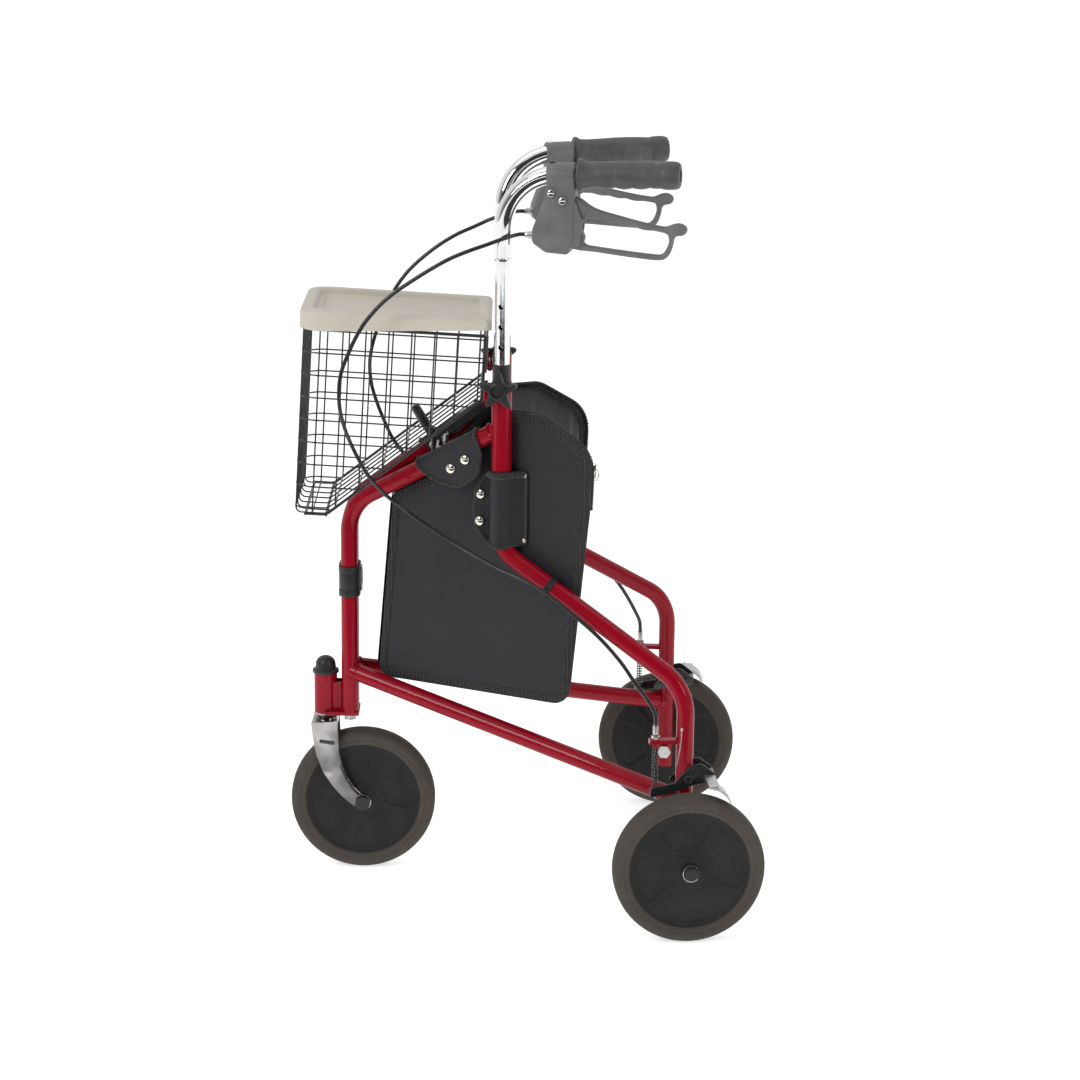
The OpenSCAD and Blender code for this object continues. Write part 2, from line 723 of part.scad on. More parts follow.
module on_basket() {
    translate([0, basket_y, basket_z]) rotate([-basket_tilt, 0, 0]) children();
}

// Outline of the basket's side, from its lower front corner: backwards, then up
function basket_side(g) = [
    [g, g], [basket_flat, g], [basket_l - g, basket_rear_z + 1.2 * g],
    [basket_l - g, basket_h], [g, basket_h]];

module basket_body(g, r, top) {
    w = basket_w / 2 - g;
    intersection() {
        rotate([90, 0, 90]) linear_extrude(basket_w, center = true)
            polygon(top ? concat([for (i = [0 : 2]) basket_side(g)[i]],
                [[basket_l - g, basket_h + 9], [g, basket_h + 9]]) : basket_side(g));
        linear_extrude(big) polygon(rounded([
            [-w, g, r], [w, g, r], [w, basket_l - g, 0], [-w, basket_l - g, 0]]));
    }
}

module wire_basket() {
    color("#1a1a1c") on_basket() difference() {
        basket_body(0, 22, false);
        basket_body(basket_t, 19, true);
        translate([-17, 122, 20]) cube([34, 72, 110]);
        for (x = [-basket_w / 2 - 1, basket_w / 2 - 35])
            translate([x, basket_l - 12, 130]) cube([36, 20, 60]);
    }
}

// Moulded tray over the basket's rim, with a recess and a down-turned lip
module tray() {
    w = tray_w / 2;
    l0 = -5;
    l1 = 235;
    color("#beb8ae") on_basket() translate([0, 0, basket_h - 12]) difference() {
        linear_extrude(26) polygon(rounded([[-w, l0, 26], [w, l0, 26], [w, l1, 4], [-w, l1, 4]]));
        translate([0, 0, 16]) linear_extrude(20) polygon(rounded([
            [11 - w, l0 + 11, 20], [w - 11, l0 + 11, 20], [w - 11, l1 - 11, 8], [11 - w, l1 - 11, 8]]));
        translate([0, 0, -1]) linear_extrude(13.5) polygon(rounded([
            [2.5 - w, l0 + 2.5, 24], [w - 2.5, l0 + 2.5, 24],
            [w - 2.5, l1 - 2.5, 4], [2.5 - w, l1 - 2.5, 4]]));
        for (x = [-w - 1, w - 22]) translate([x, basket_l - 7, -1]) cube([23, 30, 15.5]);
        translate([-w + 22, basket_l + 4, -1]) cube([2 * w - 44, 30, 15.5]);
    }
}

// ---------------------------------------------------------------- bag

panel_y = post_r + 0.5;
panel_outline = rounded([
    [47, 268, 14], [305, 263, 22], [331, 520, 30], [334, 592, 45], [262, 634, 30], [post_u, 634, 4],
    [140, 556, 12], [62, 512, 14]]);

// Stiff vinyl side panel, hung inside the side frame
module bag_panel(s) {
    color("#26272a") on_frame(s) translate([0, panel_y + panel_t / 2, 0])
        upright(panel_t) polygon(panel_outline);
}

// Soft floor, rear wall and liner between the two panels
module bag_gusset() {
    inset = (panel_y + panel_t + 1) / cos(splay);
    function half(u) = hinge_x + u * sin(splay) - inset;
    u0 = 62;
    u1 = 318;
    y0 = hinge_y + u0 * cos(splay);
    y1 = hinge_y + u1 * cos(splay);
    plan = [[-half(u0), y0], [half(u0), y0], [half(u1), y1], [-half(u1), y1]];
    t = 3;
    inner = [
        [-half(u0) + t, y0 + t], [half(u0) - t, y0 + t], [half(u1) - t, y1 - t], [-half(u1) + t, y1 - t]];
    color("#57585c") difference() {
        translate([0, 0, 274]) linear_extrude(260) polygon(plan);
        translate([0, 0, 274 + t]) linear_extrude(400) polygon(inner);
    }
}

// ---------------------------------------------------------------- nodes

hinge_bracket();
head_cap();
hinge_pins();
hinge_nuts();
post_strap();
head_bearings();
caster_fork();
caster_axle();
caster_hub();
caster_tyre();
front_tube(1);  // left_front_tube
front_tube(-1);  // right_front_tube
handle_post(1);  // left_handle_post
handle_post(-1);  // right_handle_post
rear_tube(1);  // left_rear_tube
rear_tube(-1);  // right_rear_tube
lower_rail(1);  // left_lower_rail
lower_rail(-1);  // right_lower_rail
hinge_bush(1);  // left_hinge_bush
hinge_bush(-1);  // right_hinge_bush
post_collar(1);  // left_post_collar
post_collar(-1);  // right_post_collar
cable_bracket(1);  // left_cable_bracket
cable_bracket(-1);  // right_cable_bracket
axle(1);  // left_axle
axle(-1);  // right_axle
hub(1);  // left_hub
hub(-1);  // right_hub
tyre(1);  // left_tyre
tyre(-1);  // right_tyre
handle_tube(1);  // left_handle_tube
handle_tube(-1);  // right_handle_tube
brake_housing(1);  // left_brake_housing
brake_housing(-1);  // right_brake_housing
grip(1);  // left_grip
grip(-1);  // right_grip
hand_lever(1);  // left_hand_lever
hand_lever(-1);  // right_hand_lever
lever_pin(1);  // left_lever_pin
lever_pin(-1);  // right_lever_pin
star_knob(1);  // left_star_knob
star_knob(-1);  // right_star_knob
brake_arm(1);  // left_brake_arm
brake_arm(-1);  // right_brake_arm
brake_shoe(1);  // left_brake_shoe
brake_shoe(-1);  // right_brake_shoe
brake_spring(1);  // left_brake_spring
brake_spring(-1);  // right_brake_spring
brake_cable(1, left_route);  // left_brake_cable
brake_cable(-1, right_route);  // right_brake_cable
brace_bracket(1);  // left_brace_bracket
brace_bracket(-1);  // right_brace_bracket
brace_link(1);  // left_brace_link
brace_link(-1);  // right_brace_link
fold_release();
wire_basket();
tray();
bag_panel(1);  // left_bag_panel
bag_panel(-1);  // right_bag_panel
bag_gusset();
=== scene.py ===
"""Three-wheel folding rollator walker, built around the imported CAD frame.

Lengths are in millimetres in the local frames below, and become metres when a mesh is made.
"""
import json
from math import atan2, ceil, cos, degrees, exp, hypot, pi, radians, sin, tan

import bmesh
import bpy
from mathutils import Matrix, Vector, noise


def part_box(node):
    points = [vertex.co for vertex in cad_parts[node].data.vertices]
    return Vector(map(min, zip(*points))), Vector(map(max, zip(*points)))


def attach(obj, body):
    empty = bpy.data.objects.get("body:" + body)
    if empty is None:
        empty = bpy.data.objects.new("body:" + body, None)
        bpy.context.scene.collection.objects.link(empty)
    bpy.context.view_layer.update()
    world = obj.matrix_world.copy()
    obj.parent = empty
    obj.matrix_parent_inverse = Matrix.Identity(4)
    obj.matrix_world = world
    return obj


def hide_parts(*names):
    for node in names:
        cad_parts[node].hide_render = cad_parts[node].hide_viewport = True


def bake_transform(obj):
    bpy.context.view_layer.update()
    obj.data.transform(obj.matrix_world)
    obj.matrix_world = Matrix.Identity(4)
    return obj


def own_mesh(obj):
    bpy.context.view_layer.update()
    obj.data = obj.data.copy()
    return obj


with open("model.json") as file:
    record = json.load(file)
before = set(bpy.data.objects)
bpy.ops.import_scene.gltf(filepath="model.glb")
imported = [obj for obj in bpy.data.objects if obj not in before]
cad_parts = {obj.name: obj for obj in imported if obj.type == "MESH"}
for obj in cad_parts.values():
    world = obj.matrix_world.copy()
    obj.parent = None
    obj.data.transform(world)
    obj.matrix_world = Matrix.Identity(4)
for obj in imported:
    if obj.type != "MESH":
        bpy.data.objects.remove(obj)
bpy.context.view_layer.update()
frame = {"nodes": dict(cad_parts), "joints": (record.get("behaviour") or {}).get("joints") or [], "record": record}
MM = 0.001
NODES = frame["nodes"]
JOINTS = {j["name"]: j for j in frame["joints"]}
SIDES = {"left": 1, "right": -1}


# ---------------------------------------------------------------- camera

CAMERA_AT = Vector((3.6454, -0.0263, 1.3503))
YAW, PITCH, ROLL = radians(0.802), radians(13.922), radians(0.618)
SENSOR, FOCAL = 36, 96.43


def make_camera():
    """View from the object's left, about 14 degrees down."""
    forward = Vector((-cos(YAW) * cos(PITCH), sin(YAW) * cos(PITCH), -sin(PITCH)))
    level = Vector((sin(YAW), cos(YAW), 0))
    upright = level.cross(forward)
    right = level * cos(ROLL) + upright * sin(ROLL)
    up = upright * cos(ROLL) - level * sin(ROLL)
    data = bpy.data.cameras.new("camera")
    data.sensor_width, data.lens = SENSOR, FOCAL
    data.clip_start, data.clip_end = 0.1, 100
    camera = bpy.data.objects.new("camera", data)
    camera.matrix_world = Matrix((
        (right.x, up.x, -forward.x, CAMERA_AT.x),
        (right.y, up.y, -forward.y, CAMERA_AT.y),
        (right.z, up.z, -forward.z, CAMERA_AT.z),
        (0, 0, 0, 1)))
    bpy.context.scene.collection.objects.link(camera)
    bpy.context.scene.camera = camera


make_camera()


# ---------------------------------------------------------------- places

def millimetres(point):
    return [c / MM for c in point]


HINGE = millimetres(JOINTS["left_fold"]["pos_m"])
POST = millimetres(JOINTS["left_knob_turn"]["pos_m"])
WHEEL_Z = JOINTS["left_wheel_spin"]["pos_m"][2] / MM
SPLAY, HANDLE_TOE, WHEEL_TOE = 25, 12, -5
POST_U, LEG_U = 216, 471
LEG = [HINGE[0] + LEG_U * sin(radians(SPLAY)), HINGE[1] + LEG_U * cos(radians(SPLAY))]


def move(x, y, z):
    return Matrix.Translation((x, y, z))


def plane(origin, side, angle):
    """Matrix of a side's upright plane: X runs back, Y inboard and Z up, in millimetres."""
    a = radians(angle)
    return Matrix((
        (side * sin(a) * MM, -side * cos(a) * MM, 0, side * origin[0] * MM),
        (cos(a) * MM, sin(a) * MM, 0, origin[1] * MM),
        (0, 0, MM, 0),
        (0, 0, 0, 1)))


def on_frame(side):
    return plane(HINGE, side, SPLAY)


def on_post(side):
    return plane(POST, side, HANDLE_TOE)


def on_leg(side):
    return plane(LEG, side, WHEEL_TOE)


WORLD = Matrix.Scale(MM, 4)
UPRIGHT = Matrix(((1, 0, 0, 0), (0, 0, -1, 0), (0, 1, 0, 0), (0, 0, 0, 1)))


# ---------------------------------------------------------------- outlines and paths

def fillet(points, radii, step=6.0, closed=False):
    """The line through points, with an arc of the given radius at each corner."""
    points = [Vector(p) for p in points]
    n = len(points)
    if not hasattr(radii, "__len__"):
        radii = [radii] * n
    out = []
    for i, p in enumerate(points):
        if not closed and i in (0, n - 1) or radii[i] <= 0:
            out.append(p)
            continue
        u = (p - points[i - 1]).normalized()
        v = (points[(i + 1) % n] - p).normalized()
        w = u.angle(v, 0)
        if w < 1e-4:
            out.append(p)
            continue
        r = radii[i]
        reach = r * tan(w / 2)
        inward = (v - u).normalized()
        centre = p + inward * (r / cos(w / 2))
        a, b = p - u * reach - centre, p + v * reach - centre
        count = max(2, ceil(degrees(w) / step))
        for k in range(count + 1):
            t = k / count
            out.append(centre + (a * sin((1 - t) * w) + b * sin(t * w)) / sin(w))
    return out


def sketch(points, radii, step=6.0):
    """Closed outline with rounded corners."""
    return fillet(points, radii, step, closed=True)


def catmull(points, per=4, closed=False):
    """Smooth line through points."""
    points = [Vector(p) for p in points]
    n = len(points)
    def at(i):
        return points[i % n] if closed else points[min(max(i, 0), n - 1)]
    out = []
    for i in range(n if closed else n - 1):
        a, b, c, d = at(i - 1), at(i), at(i + 1), at(i + 2)
        for k in range(per):
            t = k / per
            out.append(0.5 * (2 * b + (c - a) * t + (2 * a - 5 * b + 4 * c - d) * t * t
                              + (3 * b - a - 3 * c + d) * t ** 3))
    if not closed:
        out.append(points[-1])
    return out


def inset(outline, d):
    """Closed outline moved inwards by d. The outline runs anticlockwise."""
    n = len(outline)
    out = []
    for i in range(n):
        t = (outline[(i + 1) % n] - outline[i - 1]).normalized()
        out.append(outline[i] + Vector((-t.y, t.x)) * d)
    return out


def stand(points, y=0.0):
    """Points of an upright outline, (distance, height), as (x, y, z)."""
    return [Vector((p[0], y, p[1])) for p in points]


# ---------------------------------------------------------------- meshes

def link(obj, material, body, replaces=()):
    """Gives a finished piece its material and its CAD body."""
    obj.data.materials.clear()
    obj.data.materials.append(material)
    if body:
        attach(obj, body)
    if replaces:
        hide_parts(*([replaces] if isinstance(replaces, str) else replaces))
    return obj


def placed(name, data):
    """New object in the scene."""
    obj = bpy.data.objects.new(name, data)
    bpy.context.scene.collection.objects.link(obj)
    return obj


def evaluated(obj):
    """Mesh of an object with its modifiers applied."""
    graph = bpy.context.evaluated_depsgraph_get()
    return bpy.data.meshes.new_from_object(obj.evaluated_get(graph))


def smooth(mesh):
    mesh.polygons.foreach_set("use_smooth", [True] * len(mesh.polygons))


def around(count):
    """Angles of equal steps round a circle."""
    return [2 * pi * k / count for k in range(count)]


def mesh_object(name, verts, faces, matrix, sharp=35):
    mesh = bpy.data.meshes.new(name)
    mesh.from_pydata([matrix @ Vector(v) for v in verts], [], faces)
    return finish_mesh(name, mesh, sharp)


def finish_mesh(name, mesh, sharp=35):
    bm = bmesh.new()
    bm.from_mesh(mesh)
    bmesh.ops.remove_doubles(bm, verts=bm.verts, dist=1e-6)
    bmesh.ops.recalc_face_normals(bm, faces=bm.faces)
    bm.to_mesh(mesh)
    bm.free()
    smooth(mesh)
    mesh.set_sharp_from_angle(angle=radians(sharp))
    return placed(name, mesh)


def loft(rings, caps=True, closed=False):
    """Verts and faces of a skin over closed rings with the same number of points."""
    n = len(rings[0])
    verts = [p for ring in rings for p in ring]
    faces = []
    last = len(rings) if closed else len(rings) - 1
    for i in range(last):
        for k in range(n):
            a, b = i * n, (i + 1) % len(rings) * n
            faces.append((a + k, a + (k + 1) % n, b + (k + 1) % n, b + k))
    if caps and not closed:
        faces.append(tuple(range(n)))
        faces.append(tuple(len(verts) - n + k for k in range(n)))
    return verts, faces


def rings_along(path, radius, sides, closed=False):
    """Rings of a swept round section that doesn't twist."""
    path = [Vector(p) for p in path]
    n = len(path)
    tangents = []
    for i in range(n):
        if closed:
            t = path[(i + 1) % n] - path[i - 1]
        else:
            t = path[min(i + 1, n - 1)] - path[max(i - 1, 0)]
        tangents.append(t.normalized())
    side = tangents[0].orthogonal().normalized()
    rings = []
    for i, t in enumerate(tangents):
        side = (side - t * side.dot(t)).normalized()
        other = t.cross(side)
        r = radius(i / max(n - 1, 1)) if callable(radius) else radius
        rings.append([path[i] + (side * cos(2 * pi * k / sides) + other * sin(2 * pi * k / sides)) * r
                      for k in range(sides)])
    return rings


def tubes(name, paths, radius, matrix, sides=12, closed=False, sharp=35):
    """One mesh of round bars along several paths."""
    verts, faces = [], []
    for path in paths:
        v, f = loft(rings_along(path, radius, sides, closed), closed=closed)
        faces += [tuple(len(verts) + i for i in face) for face in f]
        verts += v
    return mesh_object(name, verts, faces, matrix, sharp)


def revolve(name, profile, matrix, sides=96, sharp=35):
    """Solid of revolution about local Z of a profile of (radius, height)."""
    rings = [[Vector((r * cos(2 * pi * k / sides), r * sin(2 * pi * k / sides), z))
              for k in range(sides)] for r, z in profile]
    verts, faces = loft(rings, caps=False, closed=True)
    return mesh_object(name, verts, faces, matrix, sharp)


def plate(name, outer, holes, thick, edge, matrix, sharp=35, resolution=3):
    """Plate with rounded edges: closed outlines in local X and Y, thick along local Z."""
    data = bpy.data.curves.new(name, "CURVE")
    data.dimensions = "2D"
    data.fill_mode = "BOTH"
    data.extrude = thick / 2 - edge
    data.bevel_depth = edge
    data.bevel_resolution = resolution
    data.offset = -edge
    for line in [outer, *holes]:
        spline = data.splines.new("POLY")
        spline.points.add(len(line) - 1)
        for q, p in zip(spline.points, line):
            q.co = (p[0], p[1], 0, 1)
        spline.use_cyclic_u = True
    maker = placed(name, data)
    mesh = evaluated(maker)
    bpy.data.objects.remove(maker)
    mesh.transform(matrix)
    return finish_mesh(name, mesh, sharp)


def join(name, objects):
    """One piece made of several meshes."""
    bm = bmesh.new()
    for obj in objects:
        obj.data.transform(obj.matrix_world)
        bm.from_mesh(obj.data)
    mesh = bpy.data.meshes.new(name)
    bm.to_mesh(mesh)
    bm.free()
    for obj in objects:
        bpy.data.objects.remove(obj)
    return placed(name, mesh)


def standing(matrix, y=0.0):
    """Matrix for a plate whose outline is (distance, height) in an upright plane, at distance y inboard."""
    return matrix @ move(0, y, 0) @ UPRIGHT


def dome(name, radius, height, matrix, rim=1.0):
    """Button head: a short rim with a domed top."""
    profile = [(0.01, 0), (radius, 0), (radius, rim)]
    profile += [(radius * cos(a), rim + (height - rim) * sin(a))
                for a in [pi / 2 * k / 8 for k in range(1, 8)]]
    return revolve(name, profile + [(0.01, height)], matrix, 32)


# ---------------------------------------------------------------- materials

class Surface:
    """A procedural material that reads object coordinates."""

    def __init__(self, name, color, rough, **sockets):
        self.mat = bpy.data.materials.new(name)
        self.mat.use_nodes = True
        self.nodes, self.links = self.mat.node_tree.nodes, self.mat.node_tree.links
        self.shader = self.nodes["Principled BSDF"]
        self.shader.inputs["Base Color"].default_value = (*color, 1)
        self.shader.inputs["Roughness"].default_value = rough
        for key, value in sockets.items():
            self.shader.inputs[key.replace("_", " ").title().replace("Ior", "IOR")].default_value = value
        self.color = color
        self.coords = self.nodes.new("ShaderNodeTexCoord").outputs["Object"]
        self.height = None

    def node(self, kind, **inputs):
        made = self.nodes.new(kind)
        for key, value in inputs.items():
            made.inputs[key.replace("_", " ").title()].default_value = value
        if "Vector" in made.inputs and kind.startswith("ShaderNodeTex"):
            self.links.new(self.coords, made.inputs["Vector"])
        return made

    def noise(self, scale, detail=3.0, rough=0.55):
        return self.node("ShaderNodeTexNoise", scale=scale, detail=detail, roughness=rough).outputs["Fac"]

    def ramp(self, value, low, high, a=0.0, b=1.0):
        """value from low..high to a..b, clamped."""
        made = self.nodes.new("ShaderNodeMapRange")
        self.links.new(value, made.inputs["Value"])
        for key, v in (("From Min", low), ("From Max", high), ("To Min", a), ("To Max", b)):
            made.inputs[key].default_value = v
        return made.outputs["Result"]

    def tint(self, value, other):
        """Mixes the base colour towards other where value is 1."""
        mix = self.nodes.new("ShaderNodeMix")
        mix.data_type = "RGBA"
        factor, a, b = mix.inputs[0], mix.inputs[6], mix.inputs[7]
        self.links.new(value, factor)
        old = self.shader.inputs["Base Color"]
        if old.is_linked:
            self.links.new(old.links[0].from_socket, a)
        else:
            a.default_value = (*self.color, 1)
        b.default_value = (*other, 1)
        self.links.new(mix.outputs[2], old)
        return self

    def vary_rough(self, value, low, high):
        self.links.new(self.ramp(value, 0.3, 0.7, low, high), self.shader.inputs["Roughness"])
        return self

    def bump(self, value, strength, distance):
        made = self.nodes.new("ShaderNodeBump")
        made.inputs["Strength"].default_value = strength
        made.inputs["Distance"].default_value = distance
        self.links.new(value, made.inputs["Height"])
        if self.height is not None:
            self.links.new(self.height, made.inputs["Normal"])
        self.height = made.outputs["Normal"]
        self.links.new(self.height, self.shader.inputs["Normal"])
        return self

    def cells(self, scale):
        made = self.node("ShaderNodeTexVoronoi", scale=scale)
        made.feature = "DISTANCE_TO_EDGE"
        return made.outputs["Distance"]

    def weave(self, pitch):
        """Basket weave with threads pitch apart, in all three directions."""
        separate = self.nodes.new("ShaderNodeSeparateXYZ")
        self.links.new(self.coords, separate.inputs[0])
        total = None
        for axis in "XYZ":
            scaled = self.math("MULTIPLY", separate.outputs[axis], 2 * pi / pitch)
            wave = self.math("SINE", scaled)
            total = wave if total is None else self.math("ADD", total, wave)
        return total

    def math(self, operation, a, b=None):
        made = self.nodes.new("ShaderNodeMath")
        made.operation = operation
        self.links.new(a, made.inputs[0])
        if b is not None:
            if isinstance(b, (int, float)):
                made.inputs[1].default_value = b
            else:
                self.links.new(b, made.inputs[1])
        return made.outputs[0]


def red_paint():
    s = Surface("red_paint", (0.27, 0.001, 0.011), 0.3, specular_ior_level=0.06, coat_weight=0.3,
                coat_roughness=0.04)
    s.tint(s.ramp(s.noise(9), 0.35, 0.7, 0, 0.35), (0.22, 0.001, 0.008))
    s.vary_rough(s.noise(60), 0.26, 0.4)
    return s.bump(s.noise(320, 2), 0.03, 0.0003).mat


def chrome():
    s = Surface("chrome", (0.86, 0.87, 0.88), 0.06, metallic=1.0)
    s.tint(s.ramp(s.noise(14), 0.45, 0.75, 0, 0.4), (0.7, 0.69, 0.68))
    s.vary_rough(s.noise(90, 5), 0.03, 0.13)
    return s.bump(s.noise(500, 2), 0.03, 0.0002).mat


def fork_chrome_painted_reflections():
    """Plated steel of the fork, rougher than the handle tubes. Its darker base and its dark and bright patches are
    painted reflections of the surroundings.
    """
    s = Surface("fork_chrome_painted_reflections", (0.4, 0.39, 0.385), 0.16, metallic=1.0)
    # painted reflections: patches darker and lighter than the plate's own tone
    s.tint(s.ramp(s.noise(11, 3), 0.42, 0.6), (0.15, 0.145, 0.14))
    s.tint(s.ramp(s.noise(23, 2), 0.56, 0.7), (0.66, 0.66, 0.65))
    s.vary_rough(s.noise(90, 5), 0.1, 0.24)
    return s.bump(s.noise(40, 2), 0.1, 0.002).mat


def zinc():
    s = Surface("zinc", (0.6, 0.6, 0.59), 0.3, metallic=1.0)
    s.tint(s.ramp(s.cells(260), 0.0, 0.25, 0.5, 0), (0.42, 0.42, 0.43))
    s.vary_rough(s.noise(220, 4), 0.22, 0.45)
    return s.bump(s.noise(900, 3), 0.12, 0.0003).mat


def black_plastic(name="black_plastic", tone=0.016, rough=0.42, shine=0.4):
    s = Surface(name, (tone, tone, tone * 1.04), rough, specular_ior_level=shine)
    s.tint(s.ramp(s.noise(30), 0.4, 0.7, 0, 0.6), (tone * 1.5,) * 3)
    s.vary_rough(s.noise(150, 4), rough - 0.08, rough + 0.1)
    return s.bump(s.noise(1600, 2), 0.2, 0.0004).mat


def black_steel():
    s = Surface("black_steel", (0.016, 0.016, 0.017), 0.3, coat_weight=0.4, coat_roughness=0.2)
    s.tint(s.ramp(s.noise(45, 5), 0.55, 0.75, 0, 0.8), (0.05, 0.05, 0.052))
    s.vary_rough(s.noise(120, 4), 0.22, 0.42)
    return s.bump(s.noise(800, 2), 0.08, 0.0003).mat


def black_wire():
    s = Surface("black_wire", (0.012, 0.012, 0.013), 0.36, coat_weight=0.3, coat_roughness=0.15)
    s.tint(s.ramp(s.noise(70, 4), 0.5, 0.75, 0, 0.7), (0.035, 0.035, 0.037))
    return s.bump(s.noise(1200, 2), 0.12, 0.0003).mat


def tyre_rubber():
    s = Surface("tyre_rubber", (0.062, 0.053, 0.045), 0.72, specular_ior_level=0.2)
    s.tint(s.ramp(s.noise(18, 5), 0.35, 0.7, 0, 0.7), (0.082, 0.071, 0.061))
    s.tint(s.ramp(s.noise(260, 4), 0.56, 0.72, 0, 0.5), (0.038, 0.032, 0.028))
    s.vary_rough(s.noise(80, 4), 0.62, 0.85)
    return s.bump(s.noise(900, 3), 0.25, 0.0005).mat


def grip_rubber():
    # Tone and lighter patches well above black: painted sheen of the front light on the rubber
    s = Surface("grip_rubber", (0.055, 0.054, 0.057), 0.46, specular_ior_level=0.5)
    s.tint(s.ramp(s.noise(60, 4), 0.45, 0.75, 0, 0.6), (0.1, 0.098, 0.103))
    s.vary_rough(s.noise(200, 4), 0.38, 0.58)
    s.bump(s.cells(650), 0.35, 0.0006)
    return s.bump(s.noise(1500, 2), 0.15, 0.0003).mat


def cable_jacket():
    s = Surface("cable_jacket", (0.009, 0.009, 0.01), 0.3, specular_ior_level=0.55)
    s.tint(s.ramp(s.noise(90), 0.5, 0.8, 0, 0.5), (0.03, 0.03, 0.03))
    return s.bump(s.noise(1100, 2), 0.1, 0.0003).mat


def tray_plastic():
    s = Surface("tray_plastic", (0.5, 0.462, 0.4), 0.5, specular_ior_level=0.4)
    s.tint(s.ramp(s.noise(12), 0.35, 0.7, 0, 0.4), (0.55, 0.51, 0.45))
    s.vary_rough(s.noise(110, 4), 0.44, 0.6)
    return s.bump(s.noise(1500, 2), 0.22, 0.0004).mat


def vinyl():
    s = Surface("bag_vinyl", (0.019, 0.019, 0.022), 0.44, specular_ior_level=0.3)
    s.tint(s.ramp(s.noise(7, 4), 0.35, 0.7, 0, 0.6), (0.026, 0.026, 0.03))
    s.vary_rough(s.noise(25, 4), 0.38, 0.55)
    s.bump(s.cells(900), 0.3, 0.0005)
    return s.bump(s.noise(90, 4), 0.12, 0.001).mat


def binding_tape():
    s = Surface("binding_tape", (0.012, 0.011, 0.010), 0.85, sheen_weight=0.15, sheen_roughness=0.5)
    weave = s.weave(0.0022)
    s.tint(s.ramp(weave, 0.2, 2.2, 0, 0.9), (0.034, 0.031, 0.028))
    s.bump(weave, 0.8, 0.0006)
    return s.bump(s.noise(1400, 3), 0.3, 0.0004).mat


def lining():
    s = Surface("bag_lining", (0.022, 0.021, 0.022), 0.5, specular_ior_level=0.3, sheen_weight=0.05,
                sheen_roughness=0.4)
    weave = s.weave(0.0012)
    s.tint(s.ramp(weave, 0, 2.5, 0, 0.5), (0.034, 0.033, 0.034))
    s.tint(s.ramp(s.noise(14, 4), 0.4, 0.7, 0, 0.5), (0.015, 0.015, 0.016))
    s.bump(weave, 0.3, 0.0003)
    return s.bump(s.noise(60, 4), 0.25, 0.0015).mat


def nickel():
    s = Surface("nickel_snap", (0.86, 0.82, 0.72), 0.14, metallic=1.0)
    s.tint(s.ramp(s.noise(80), 0.4, 0.7, 0, 0.5), (0.7, 0.64, 0.52))
    return s.bump(s.noise(600, 3), 0.08, 0.0002).mat


RED, CHROME, ZINC, BLACK, FORK = red_paint(), chrome(), zinc(), black_plastic(), fork_chrome_painted_reflections()
# Lever and housing: a grey copy of the black plastic, whose lighter tone is painted sheen of the front light
LEVER_PAINTED_SHEEN = black_plastic("lever_plastic_painted_sheen", 0.11, 0.42, 0.45)
HUB = black_plastic("hub_plastic", 0.02, 0.5, 0.14)
STEEL, WIRE, TYRE, GRIP_PAINTED_SHEEN = black_steel(), black_wire(), tyre_rubber(), grip_rubber()
JACKET, TRAY, VINYL, TAPE = cable_jacket(), tray_plastic(), vinyl(), binding_tape()
LINING, SNAP = lining(), nickel()
BY_SLOT = {
    "red_paint": RED, "black_plastic": BLACK, "black_steel": STEEL, "black_wire": WIRE,
    "chrome": CHROME, "zinc": ZINC, "axle_black": BLACK, "grip_rubber": GRIP_PAINTED_SHEEN, "tyre": TYRE,
    "hub_plastic": HUB, "cable_jacket": JACKET, "tray_plastic": TRAY, "bag_vinyl": VINYL,
    "bag_lining": LINING}


def dress_cad():
    """The CAD nodes that stay get their slot's finish."""
    for part in frame["record"]["subparts"]:
        node = NODES[part["node"]]
        node.data.materials.clear()
        node.data.materials.append(BY_SLOT[part["material_slot"]])


dress_cad()


# ---------------------------------------------------------------- brake cables

LEFT_ROUTE = [
    [109, 0.7, 860], [109, -5, 860], [114, -13, 859], [120, -28, 855], [125, -46, 849], [126, -66, 842],
    [126, -90, 832], [126, -115, 818], [126, -140, 802], [126, -160, 788], [126, -178, 772],
    [126, -195, 752], [126, -207, 732], [126, -217, 710], [125, -225, 688], [123, -228, 665],
    [118, -227, 640], [110, -222, 616], [102, -215, 595], [98, -205, 573], [98, -190, 548],
    [86, -172, 525], [79, -150, 506], [82, -126, 489], [94, -91, 468], [110, -58, 452],
    [125, -26, 438], [139, 4, 428], [151, 31, 415], [165, 62, 394], [178, 96, 367],
    [186, 124, 337], [195, 143, 311], [206, 158, 293], [213, 167, 278], [214.3, 168, 265.2]
]
RIGHT_ROUTE = [
    [109, 0.7, 860], [109, -5, 860], [114, -13, 858], [120, -28, 853], [125, -45, 846], [126, -64, 837],
    [126, -86, 827], [126, -109, 813], [126, -131, 796], [126, -149, 779], [126, -163, 761],
    [126, -175, 741], [126, -185, 719], [126, -193, 695], [125, -199, 672], [122, -201, 650],
    [117, -198, 626], [110, -190, 602], [103, -180, 579], [97, -169, 558], [88, -154, 540],
    [81, -138, 521], [83, -118, 500], [92, -95, 481], [104, -70, 464], [116, -46, 449],
    [127, -22, 438], [139, 4, 428], [151, 31, 415], [163, 60, 399], [172, 88, 384],
    [185, 114, 365], [191, 134, 341], [198, 149, 317], [208, 162, 291], [213, 167, 278], [214.3, 168, 265.2]
]
CABLE_R = 2.5


